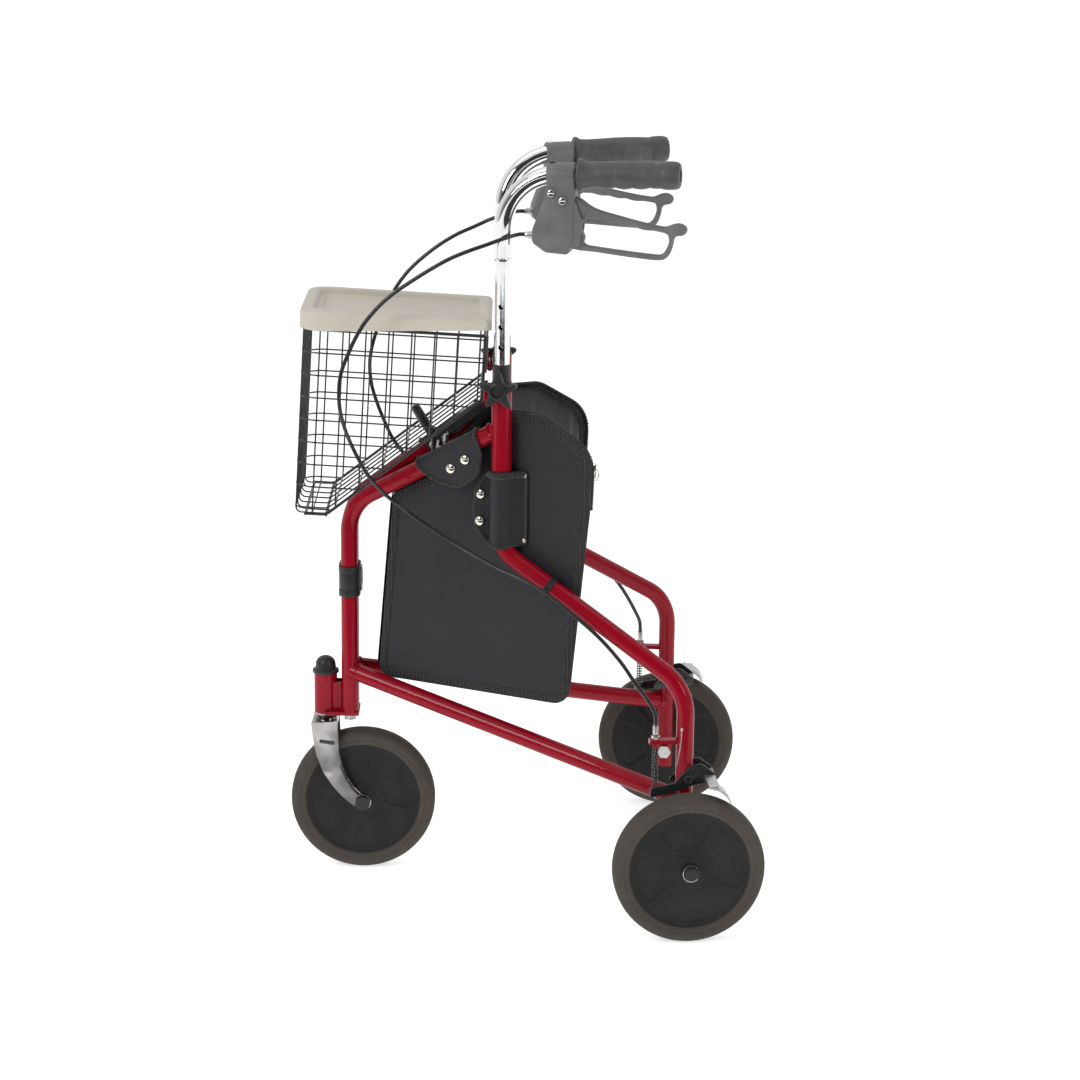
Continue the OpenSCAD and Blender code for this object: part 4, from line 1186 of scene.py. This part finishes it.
def make_panels(name, side):
    m, body = on_frame(side), f"{name}_frame"
    outer = panel_mesh("outer", m, 1.4, 3)
    inner = panel_mesh("inner", m, -1.4, 3)
    outer.name, inner.name = f"{name}_bag_vinyl", f"{name}_bag_vinyl_inner"
    link(outer, VINYL, body, f"{name}_bag_panel")
    link(inner, VINYL, body)
    tape = plate("tape", PANEL, [list(reversed(inset(PANEL, TAPE_W)))], 4.8, 1.8, standing(m, PANEL_Y), 40)
    cord = [Vector((p.x, PANEL_Y, p.y)) for p in inset(PANEL, 1.2)]
    piping = tubes("piping", [cord], 2.5, m, 8, closed=True)
    link(join(f"{name}_bag_binding", [tape, piping]), TAPE, body)
    line = inset(PANEL, TAPE_W - 2)
    stitches = []
    length, pitch, gap = 0.0, 4.2, 1.5
    for a, b in zip(line, line[1:] + line[:1]):
        span = (b - a).length
        k = ceil(length / pitch)
        while k * pitch - length < span:
            at = a + (b - a) * ((k * pitch - length) / span)
            end = at + (b - a).normalized() * (pitch - gap)
            for y in (PANEL_Y - 2.5, PANEL_Y + 2.5):
                stitches.append([Vector((at.x, y, at.y)), Vector((end.x, y, end.y))])
            k += 1
        length += span
    link(tubes(f"{name}_bag_stitches", stitches, 0.35, m, 5), BLACK, body)


GUSSET_INSET = 17.5
GUSSET_T = 0.0011
DRAPE_CAP = 0.014
DRAPE_FRAMES = 20


def gusset_half_width(u):
    """Half of the gap between the two panels at distance u along a frame."""
    frame_x = HINGE[0] + u * sin(radians(SPLAY))
    return frame_x - GUSSET_INSET / cos(radians(SPLAY)) + (GUSSET_INSET - PANEL_Y) * 0.9


def gusset_strip(name, path, sag, columns, slack):
    """Strip between the panels along path, with its middle folded in by sag."""
    verts, faces = [], []
    n = len(path)
    for i, (u, z) in enumerate(path):
        half = gusset_half_width(u)
        y = HINGE[1] + u * cos(radians(SPLAY))
        inward = (PANEL_MIDDLE - Vector((u, z))).normalized()
        for k in range(columns + 1):
            t = 2 * k / columns - 1
            fold = (1 - abs(t) ** 0.8) * sag(i / (n - 1)) * min(1, half / 60)
            wrinkle = slack * noise.noise(Vector((t * 3, i * 0.21, 2.3))) * (1 - t * t)
            du = (inward.x * (fold + wrinkle)) * cos(radians(SPLAY))
            dz = inward.y * (fold + wrinkle)
            verts.append(Vector((half * t, y + du, z + dz)))
    for i in range(n - 1):
        for k in range(columns):
            a = i * (columns + 1) + k
            faces.append((a, a + 1, a + columns + 2, a + columns + 1))
    return mesh_object(name, verts, faces, WORLD, 80)


def drape(obj, columns, gravity):
    """Cloth simulation of the strip, held along both panels. Its result is applied."""
    held = obj.vertex_groups.new(name="held")
    edge = [v.index for v in obj.data.vertices if v.index % (columns + 1) in (0, columns)]
    ends = [v.index for v in obj.data.vertices
            if v.index < columns + 1 or v.index >= len(obj.data.vertices) - columns - 1]
    held.add(sorted(set(edge + ends)), 1.0, "REPLACE")
    cloth = obj.modifiers.new("cloth", "CLOTH")
    s = cloth.settings
    s.quality, s.mass = 6, 0.3
    s.tension_stiffness = s.compression_stiffness = 14
    s.shear_stiffness, s.bending_stiffness = 8, 1.2
    s.air_damping = 2.0
    s.vertex_group_mass = "held"
    s.effector_weights.gravity = gravity
    cloth.collision_settings.use_self_collision = False
    scene = bpy.context.scene
    for k in range(1, DRAPE_FRAMES + 1):
        scene.frame_set(k)
    mesh = evaluated(obj)
    rest = [v.co.copy() for v in obj.data.vertices]
    obj.modifiers.clear()
    obj.vertex_groups.clear()
    for v, w, home in zip(obj.data.vertices, mesh.vertices, rest):
        move = w.co - home
        v.co = home + move * min(1, DRAPE_CAP / max(move.length, 1e-9))
    scene.frame_set(1)


def flat_size(obj, columns):
    """Width, length and area of half of a strip, in metres, before it is draped."""
    co = [v.co for v in obj.data.vertices]
    rows = [co[i:i + columns + 1] for i in range(0, len(co), columns + 1)]
    def run(line):
        return sum((b - a).length for a, b in zip(line, line[1:]))
    width = max(run(row) for row in rows) / 2
    return width, max(run(column) for column in zip(*rows)), sum(p.area for p in obj.data.polygons) / 2


def halves(obj, name, material, flat, replaces=()):
    """Splits a strip at the middle plane into one half for each side."""
    n = Vector((cos(radians(SPLAY)), -sin(radians(SPLAY)), 0))
    for body, side in SIDES.items():
        bm = bmesh.new()
        bm.from_mesh(obj.data)
        geom = bm.verts[:] + bm.edges[:] + bm.faces[:]
        bmesh.ops.bisect_plane(bm, geom=geom, dist=1e-6, plane_co=(0, 0, 0), plane_no=(side, 0, 0),
                               clear_inner=True)
        mesh = bpy.data.meshes.new(f"{body}_{name}")
        bm.to_mesh(mesh)
        bm.free()
        smooth(mesh)
        half = placed(f"{body}_{name}", mesh)
        thicken(half, GUSSET_T)
        link(half, material, None, replaces if side > 0 else ())
        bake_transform(half)
    bpy.data.objects.remove(obj)


def thicken(obj, thickness):
    """Applies a solid thickness and one subdivision."""
    solid = obj.modifiers.new("solid", "SOLIDIFY")
    solid.thickness, solid.offset = thickness, 0
    round_off = obj.modifiers.new("round", "SUBSURF")
    round_off.levels = round_off.render_levels = 1
    mesh = evaluated(obj)
    obj.modifiers.clear()
    obj.data = mesh
    smooth(mesh)


def resample(points, step):
    """The same line with points step apart."""
    out, left = [points[0]], step
    for a, b in zip(points, points[1:]):
        span = (b - a).length
        while span >= left:
            a = a + (b - a).normalized() * left
            out.append(a)
            span, left = (b - a).length, step
        left -= span
    return out + [points[-1]]


def make_gusset():
    """Grey folded lining over the top and rear, black vinyl below, behind and in front."""
    line = inset(PANEL, 2.5)
    start = min(range(len(line)), key=lambda i: (line[i] - Vector((POST_U, 631))).length)
    end = min(range(len(line)), key=lambda i: (line[i] - Vector((330, 500))).length)
    corner = min(range(len(line)), key=lambda i: (line[i] - Vector((60, 510))).length)
    n = len(line)
    top = resample([line[i] for i in range(start, end - 1, -1)], 5)
    loop = [line[(i + corner) % n] for i in range(0, (end - corner) % n + 1)]
    under = resample(loop, 6)
    columns = 44
    grey = gusset_strip("grey", top, lambda t: 46 * sin(pi * min(1, 0.12 + t * 0.8)) ** 0.7, columns, 5)
    black = gusset_strip("black", under, lambda t: 12 + 22 * t * t, columns, 3)
    grey_flat, black_flat = flat_size(grey, columns), flat_size(black, columns)
    drape(grey, columns, 0.6)
    drape(black, columns, 0.35)
    halves(grey, "bag_gusset_lining", LINING, grey_flat, "bag_gusset")
    halves(black, "bag_gusset_vinyl", VINYL, black_flat)


PULLER_Z = {"left": 572, "right": 534}


def zipper(name, side):
    """Zip tape, teeth and a puller on the panel's rear and top edge."""
    m, body = on_frame(side), f"{name}_frame"
    line = inset(PANEL, -0.5)
    start = min(range(len(line)), key=lambda i: (line[i] - Vector((POST_U + 12, 634))).length)
    end = min(range(len(line)), key=lambda i: (line[i] - Vector((332, 470))).length)
    path = [Vector((line[i].x, PANEL_Y + 3.6, line[i].y)) for i in range(start, end - 1, -1)]
    tape = tubes("zip", [path], 2.1, m, 6)
    teeth = []
    for a, b in zip(path, path[1:]):
        count = max(1, int((b - a).length / 2.4))
        across_line = (b - a).cross(Vector((0, 1, 0))).normalized()
        for k in range(count):
            at = a + (b - a) * (k / count)
            teeth.append([at - across_line * 0.4 + Vector((0, 2.0, 0)), at + across_line * 2.2
                          + Vector((0, 2.0, 0))])
    link(join(f"{name}_zip_tape", [tape, tubes("teeth", teeth, 0.55, m, 5)]), BLACK, body)
    height = PULLER_Z[name]
    rear_edge = [p for p in path if p.x >= 300]
    at = min(rear_edge, key=lambda p: abs(p.z - height)) + Vector((1.5, 1.5, 0))
    slider = plate("slider", sketch([(-3, -5), (3, -5), (3.6, 5), (-3.6, 5)], 2, 12),
                   [], 4, 1, m @ Matrix.Translation(at) @ UPRIGHT)
    loop = [at + Vector((4 + 2 * cos(g), 0, -9 + 7 * sin(g)))
            for g in around(24)]
    pull = tubes("pull", [loop], 0.7, m, 8, closed=True)
    link(join(f"{name}_zip_pullers", [slider, pull]), SNAP, body)


def dense(outline, step):
    """Closed outline with points no more than step apart."""
    out = []
    for a, b in zip(outline, outline[1:] + outline[:1]):
        count = max(1, ceil((b - a).length / step))
        out += [a + (b - a) * (k / count) for k in range(count)]
    return out


def wrap_sheet(name, outline, bend, matrix, thick):
    """Flat outline of (a, b) bent to 3-D by bend(a, b, lift), as a thick sheet with a filled grid."""
    outline = dense(outline, 3)
    xs, ys = [p[0] for p in outline], [p[1] for p in outline]
    mid = Vector((sum(xs) / len(xs), sum(ys) / len(ys)))
    steps, n = 10, len(outline)
    def skin(lift):
        rings = [[Vector(bend(*(mid + (Vector(p) - mid) * (1 - k / steps)), lift)) for p in outline]
                 for k in range(steps)]
        return [p for ring in rings for p in ring] + [Vector(bend(*mid, lift))]

    front, back = skin(thick / 2), skin(-thick / 2)
    verts = front + back
    faces = []
    for base in (0, len(front)):
        for i in range(steps - 1):
            for k in range(n):
                a, b = base + i * n + k, base + i * n + (k + 1) % n
                faces.append((a, b, b + n, a + n))
        hub = base + steps * n
        faces += [(base + (steps - 1) * n + k, base + (steps - 1) * n + (k + 1) % n, hub) for k in range(n)]
    faces += [(k, (k + 1) % n, len(front) + (k + 1) % n, len(front) + k) for k in range(n)]
    return mesh_object(name, verts, faces, matrix, 50)


SNAP_SIZE = (6.2, 3.4, 1.0)


def make_flaps(name, side):
    """Two vinyl flaps that hold the panel: one over the upper tube, one round the post."""
    m, body = on_frame(side), f"{name}_frame"
    slope = atan2(UPPER_SLOPE, 1)
    gap = 2.2
    wrap_r = TUBE_R + gap
    foot = Vector((0, UPPER_Z))
    along, up = Vector((cos(slope), sin(slope))), Vector((-sin(slope), cos(slope)))

    def over_tube(a, b, lift):
        """a runs along the upper tube; b is the distance down the outside from the tube's crown."""
        r = wrap_r + lift
        quarter = wrap_r * pi / 2
        if b < quarter:
            g = b / wrap_r
            p = foot + along * a + up * (r * cos(g))
            return p.x, -r * sin(g), p.y
        down = b - quarter
        p = foot + along * a - up * down
        hang = 2.5 * min(1, down / 20) - soft_swell(a * 1.7, b * 1.7) * 0.5 * min(1, down / 12)
        return p.x, -r + hang, p.y
    flap = sketch([(122, -20), (216, -20), (217, 20), (212, 40), (196, 62), (160, 66), (134, 44), (121, 18)],
                  [2, 2, 12, 14, 18, 22, 18, 10], 8)
    pieces = [wrap_sheet("flap", flap, over_tube, m, 1.8)]
    rim = [Vector(over_tube(p.x, p.y, 0.2)) for p in dense(inset(flap, 2.4), 3)]
    tapes = [tubes("rim", [rim], 2.6, m, 8, closed=True)]

    sleeve_r = POST_R + 1.8
    def round_post(a, b, lift):
        """a runs round the post from its outer side, backwards positive; b is the height."""
        r = sleeve_r + lift
        g = a / sleeve_r
        limit = radians(78)
        if abs(g) <= limit:
            return POST_U + r * sin(g), -r * cos(g), b
        s = 1 if g > 0 else -1
        past = abs(a) - limit * sleeve_r
        x = POST_U + s * (r * sin(limit) + past * 0.93)
        if s > 0:
            y = -r * cos(limit) + min(past * 1.4, PANEL_Y - 3.4 + r * cos(limit)) - lift
        else:
            y = -r * cos(limit) - min(past * 0.5, 7) - lift - soft_swell(a * 2, b) * 0.6 * min(1, past / 8)
        return x, y, b
    sleeve = sketch([(-22, 562), (36, 562), (38, 466), (8, 462), (-22, 468), (-36, 486), (-41, 508),
                     (-38, 534), (-28, 552)], [2, 3, 3, 30, 12, 16, 16, 12, 8], 8)
    pieces.append(wrap_sheet("sleeve", sleeve, round_post, m, 1.8))
    top_rim = [Vector(round_post(a, 557, 0.8)) for a in range(-22, 37, 3)]
    front_rim = [Vector(round_post(p[0], p[1], 0.6)) for p in catmull(
        [(-20, 558), (-27, 550), (-36, 532), (-38.5, 508), (-34, 488), (-21, 471), (-6, 466), (10, 466),
         (34, 469)], 4)]
    tapes.append(tubes("top", [top_rim], 4.2, m, 8))
    tapes.append(tubes("front", [front_rim], 2.6, m, 8))
    rear_rim = [Vector(round_post(36.5, z, 0.6)) for z in range(468, 560, 6)]
    tapes.append(tubes("rear", [rear_rim], 1.6, m, 8))
    link(join(f"{name}_bag_flaps", pieces), VINYL, body)
    link(join(f"{name}_flap_binding", tapes), TAPE, body)

    def stud(place, size):
        x, y, z = place
        return dome("stud", *size[:2], across(m, (x, z), y, True), size[2])

    snaps = [stud(over_tube(a, b, 1.2), SNAP_SIZE) for a, b in ((164, 38), (188, 36))]
    snaps += [stud(round_post(a, z, 1.2), SNAP_SIZE) for a, z in ((-30, 531), (-31, 496))]
    snaps += [stud(round_post(33, z, 1.2), (3.2, 2.4, 0.8)) for z in (556, 472)]
    snaps.append(stud((122, PANEL_Y - 3, 536), (2.6, 2.0, 0.6)))
    link(join(f"{name}_bag_snaps", snaps), SNAP, body)


def make_cable_tie(name, side):
    """Black tie that holds the cable on the lower diagonal."""
    m = on_frame(side)
    u = 286
    z = LOWER_Z - LOWER_SLOPE * (u - POST_U)
    d = Vector((1, 0, -LOWER_SLOPE)).normalized()
    n = d.cross(Vector((0, 1, 0)))
    def loop(offset, r):
        return [Vector((u, 0, z)) + d * offset + (n * cos(g) + Vector((0, 1, 0)) * sin(g)) * r
                for g in around(40)]
    band = tubes("tie", [loop(k, TUBE_R + 0.9) for k in (-3, -1, 1, 3)], 1.2, m, 8, closed=True)
    head = plate("head", sketch([(-4, -4), (4, -4), (4, 4), (-4, 4)], 1, 20), [], 5, 1,
                 m @ move(u - 6, -6.5, z - 10) @ UPRIGHT)
    link(join(f"{name}_cable_tie", [band, head]), BLACK, f"{name}_frame")


for name, side in SIDES.items():
    make_panels(name, side)
    make_flaps(name, side)
    zipper(name, side)
    make_cable_tie(name, side)
make_gusset()


# ---------------------------------------------------------------- rear brakes and brace

FERRULE_X, BRACKET_Z = -37, 243
ARM_PIVOT = (3, 198)


def make_brake(name, side):
    m, body = on_leg(side), f"{name}_frame"
    low, high, turns, per = 183, 234, 15, 12
    coil = []
    for k in range(turns * per + 1):
        g = 2 * pi * k / per
        z = low + (high - low) * k / (turns * per)
        coil.append(Vector((FERRULE_X + 3.6 * cos(g), 3.6 * sin(g), z)))
    spring = tubes(f"{name}_spring_coil", [coil], 0.75, m, 7)
    link(spring, STEEL, body, f"{name}_brake_spring")
    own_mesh(spring)
    wire = [Vector((FERRULE_X, 0, z)) for z in (236, 210, 186, 172)]
    curl = catmull([(FERRULE_X, 0, 172), (-34, -2, 168), (-28, -3, 166), (-20, -3, 168), (-14, -3, 172)], 5)
    link(tubes(f"{name}_brake_wire", [wire, curl], 0.8, m, 7), ZINC, body)
    tail = catmull([(-6, -12.5, 262), (-7, -12.2, 245), (-9, -12.4, 228), (-12, -13, 214)], 6)
    bead = dome("bead", 1.7, 4, m @ move(-6, -12.5, 260), 2)
    link(join(f"{name}_wire_end", [tubes("tail", [tail], 0.6, m, 6), bead]), ZINC, body)
    ferrule = [(1.1, 0), (3.3, 0), (3.5, 1), (3.5, 16), (3.2, 18), (2.9, 19.6), (1.1, 19.6)]
    link(revolve(f"{name}_ferrule_sleeve", ferrule, m @ move(FERRULE_X, 0, 245.7), 24), ZINC, body)
    nut = revolve("nut", [(1, 0), (5.2, 0), (5.4, 0.6), (5.4, 4.6), (5.1, 5.2), (1, 5.2)],
                  m @ move(FERRULE_X, 0, BRACKET_Z + 2.6), 6)
    link(join(f"{name}_ferrule_nut", [nut]), ZINC, body)


def arm_outline(outboard):
    """The outboard cheek reaches the spring; the inboard one stops short of the lower rail."""
    front = [(-20, 184.5), (-14, 193)]
    if outboard:
        front = [(-16, 179), (FERRULE_X - 8, 173), (FERRULE_X - 6, 186), (-14, 192)]
    rear = [(ARM_PIVOT[0] + 2, 214), (20, 217), (38, 203), (38, 194), (8, 188)]
    return sketch([*front, *rear], [3] * len(front) + [8, 8, 4, 4, 10], 8)


def make_brake_arm(name, side):
    """Stamped channel with two cheeks, a closed front and rear, and its pivot bolt."""
    m, body = on_leg(side), f"{name}_brake"
    cheek = TUBE_R + 2
    cheeks = [plate("cheek", arm_outline(y < 0), [], 2.2, 0.7, standing(m, y)) for y in (-cheek, cheek)]
    nose = plate("nose", sketch([(FERRULE_X - 7, -cheek), (FERRULE_X + 9, -cheek), (FERRULE_X + 9, 4),
                                 (FERRULE_X - 7, 4)], 2, 12), [], 3, 0.8, m @ move(0, 0, 180))
    rear = plate("rear", sketch([(22, -cheek), (37, -cheek), (37, cheek), (22, cheek)], 2, 12),
                 [], 3, 0.8, m @ move(0, 0, 202))
    link(join(f"{name}_brake_channel", [*cheeks, nose, rear]), STEEL, body,
         f"{name}_brake_arm")
    bolts = [revolve("bolt", [(0.1, 0), (7, 0), (7, 1), (5.4, 1.4), (5.4, 5), (4.6, 5.8), (0.1, 5.8)],
                     across(m, ARM_PIVOT, s * cheek, s < 0), 6) for s in (-1, 1)]
    rod = tubes("rod", [[(ARM_PIVOT[0], -cheek - 2, ARM_PIVOT[1]),
                         (ARM_PIVOT[0], cheek + 2, ARM_PIVOT[1])]], 3, m, 20)
    link(join(f"{name}_brake_bolt", [*bolts, rod]), STEEL, body)
    offset = 51.5
    section = [(20, 201.4), (34, 197), (43, 190), (49, 181), (50.6, 182), (45, 192.5), (36, 199.5),
               (22, 203.4)]
    shoe = plate("shoe", list(reversed([Vector(p) for p in section])), [], 27, 0.5, standing(m, -offset), 25)
    arm = plate("arm", sketch([(22, -offset - 10), (36, -offset - 10), (36, -cheek), (22, -cheek)], 2, 12),
                [], 2.6, 0.7, m @ move(0, 0, 201.5))
    link(join(f"{name}_brake_pad", [shoe, arm]), ZINC, body, f"{name}_brake_shoe")


def make_release():
    """Sleeved release lever in its bright clevis on the folding brace."""
    low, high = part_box("fold_release")
    y, z = (high.y / MM) - 3, low.z / MM + 8
    lean = WORLD @ move(0, y - 3, z + 10) @ Matrix.Rotation(radians(32), 4, "X")
    sleeve = revolve("sleeve", [(0.1, 6), (5.4, 6), (6.2, 7.5), (6.4, 20), (6.2, 44), (5.6, 49),
                                (0.1, 49.8)], lean, 24)
    tongue = plate("tongue", sketch([(-8, -8), (8, -8), (8, 10), (4, 18), (-4, 18), (-8, 10)],
                                    [3, 3, 4, 2, 2, 4], 12),
                   [], 4, 0.8, WORLD @ move(0, y - 2.5, z) @ UPRIGHT)
    link(join("release_lever_sleeve", [sleeve, tongue]), STEEL, "release", "fold_release")
    clevis = sketch([(-9, -9), (9, -9), (9, 15), (-9, 15)], 4, 12)
    cheek = plate("clevis", clevis, [], 1.6, 0.5, WORLD @ move(0, y - 5.6, z) @ UPRIGHT)
    bolt = dome("bolt", 4.4, 3.2, across(WORLD, (0, z), y - 6.2, True), 1.4)
    upper = dome("bolt", 3.4, 2.6, across(WORLD, (0, z + 10), y - 6.2, True), 1.2)
    link(join("release_clevis", [cheek, bolt, upper]), ZINC, "release")


for name, side in SIDES.items():
    make_brake(name, side)
    make_brake_arm(name, side)
make_release()


# ---------------------------------------------------------------- stage

def make_floor():
    """Plain pale floor."""
    size = 60
    bpy.ops.mesh.primitive_plane_add(size=size)
    floor = bpy.context.object
    floor.name = "floor"
    s = Surface("floor", (0.84, 0.84, 0.84), 0.95, specular_ior_level=0.0, emission_strength=0.6)
    s.shader.inputs["Emission Color"].default_value = (1, 1, 1, 1)
    floor.data.materials.append(s.mat)


def make_flag():
    """Dark studio card low on the near side. Only the chrome and the paint mirror it."""
    bpy.ops.mesh.primitive_plane_add(size=1, location=(2.75, 0, 0.01))
    card = bpy.context.object
    card.name, card.scale = "flag", (3.8, 5, 1)
    card.visible_camera = card.visible_shadow = card.visible_diffuse = card.visible_transmission = False
    card.data.materials.append(Surface("flag", (0.04, 0.04, 0.042), 0.95, specular_ior_level=0.0).mat)


def softbox(name, place, aim, size, power):
    data = bpy.data.lights.new(name, "AREA")
    data.shape, data.size, data.size_y, data.energy = "RECTANGLE", size[0], size[1], power
    lamp = placed(name, data)
    lamp.location = place
    lamp.rotation_mode = "QUATERNION"
    lamp.rotation_quaternion = (Vector(aim) - Vector(place)).to_track_quat("-Z", "Y")


def make_lights():
    """White studio with a darker side behind the camera, so that chrome keeps dark cores."""
    world = bpy.data.worlds.new("studio")
    bpy.context.scene.world = world
    world.use_nodes = True
    nodes, links = world.node_tree.nodes, world.node_tree.links
    coords = nodes.new("ShaderNodeTexCoord")
    separate = nodes.new("ShaderNodeSeparateXYZ")
    links.new(coords.outputs["Generated"], separate.inputs[0])
    ramp = nodes.new("ShaderNodeValToRGB")
    links.new(separate.outputs["X"], ramp.inputs["Fac"])
    ramp.color_ramp.elements[0].position, ramp.color_ramp.elements[0].color = 0.0, (0.9, 0.9, 0.9, 1)
    ramp.color_ramp.elements[1].position, ramp.color_ramp.elements[1].color = 0.9, (0.03, 0.03, 0.032, 1)
    middle = ramp.color_ramp.elements.new(0.35)
    middle.color = (0.3, 0.3, 0.31, 1)
    links.new(ramp.outputs["Color"], nodes["Background"].inputs["Color"])
    nodes["Background"].inputs["Strength"].default_value = 0.9
    softbox("top", (0.2, -0.2, 3.2), (0, 0, 0.4), (2.6, 3.2), 17)
    softbox("key", (2.4, -2.2, 2.4), (0, 0, 0.5), (1.0, 1.6), 52)
    softbox("fill", (2.6, 2.4, 1.9), (0, 0, 0.4), (0.7, 1.6), 26)
    bpy.context.scene.view_settings.view_transform = "Standard"


make_floor()
make_flag()
make_lights()
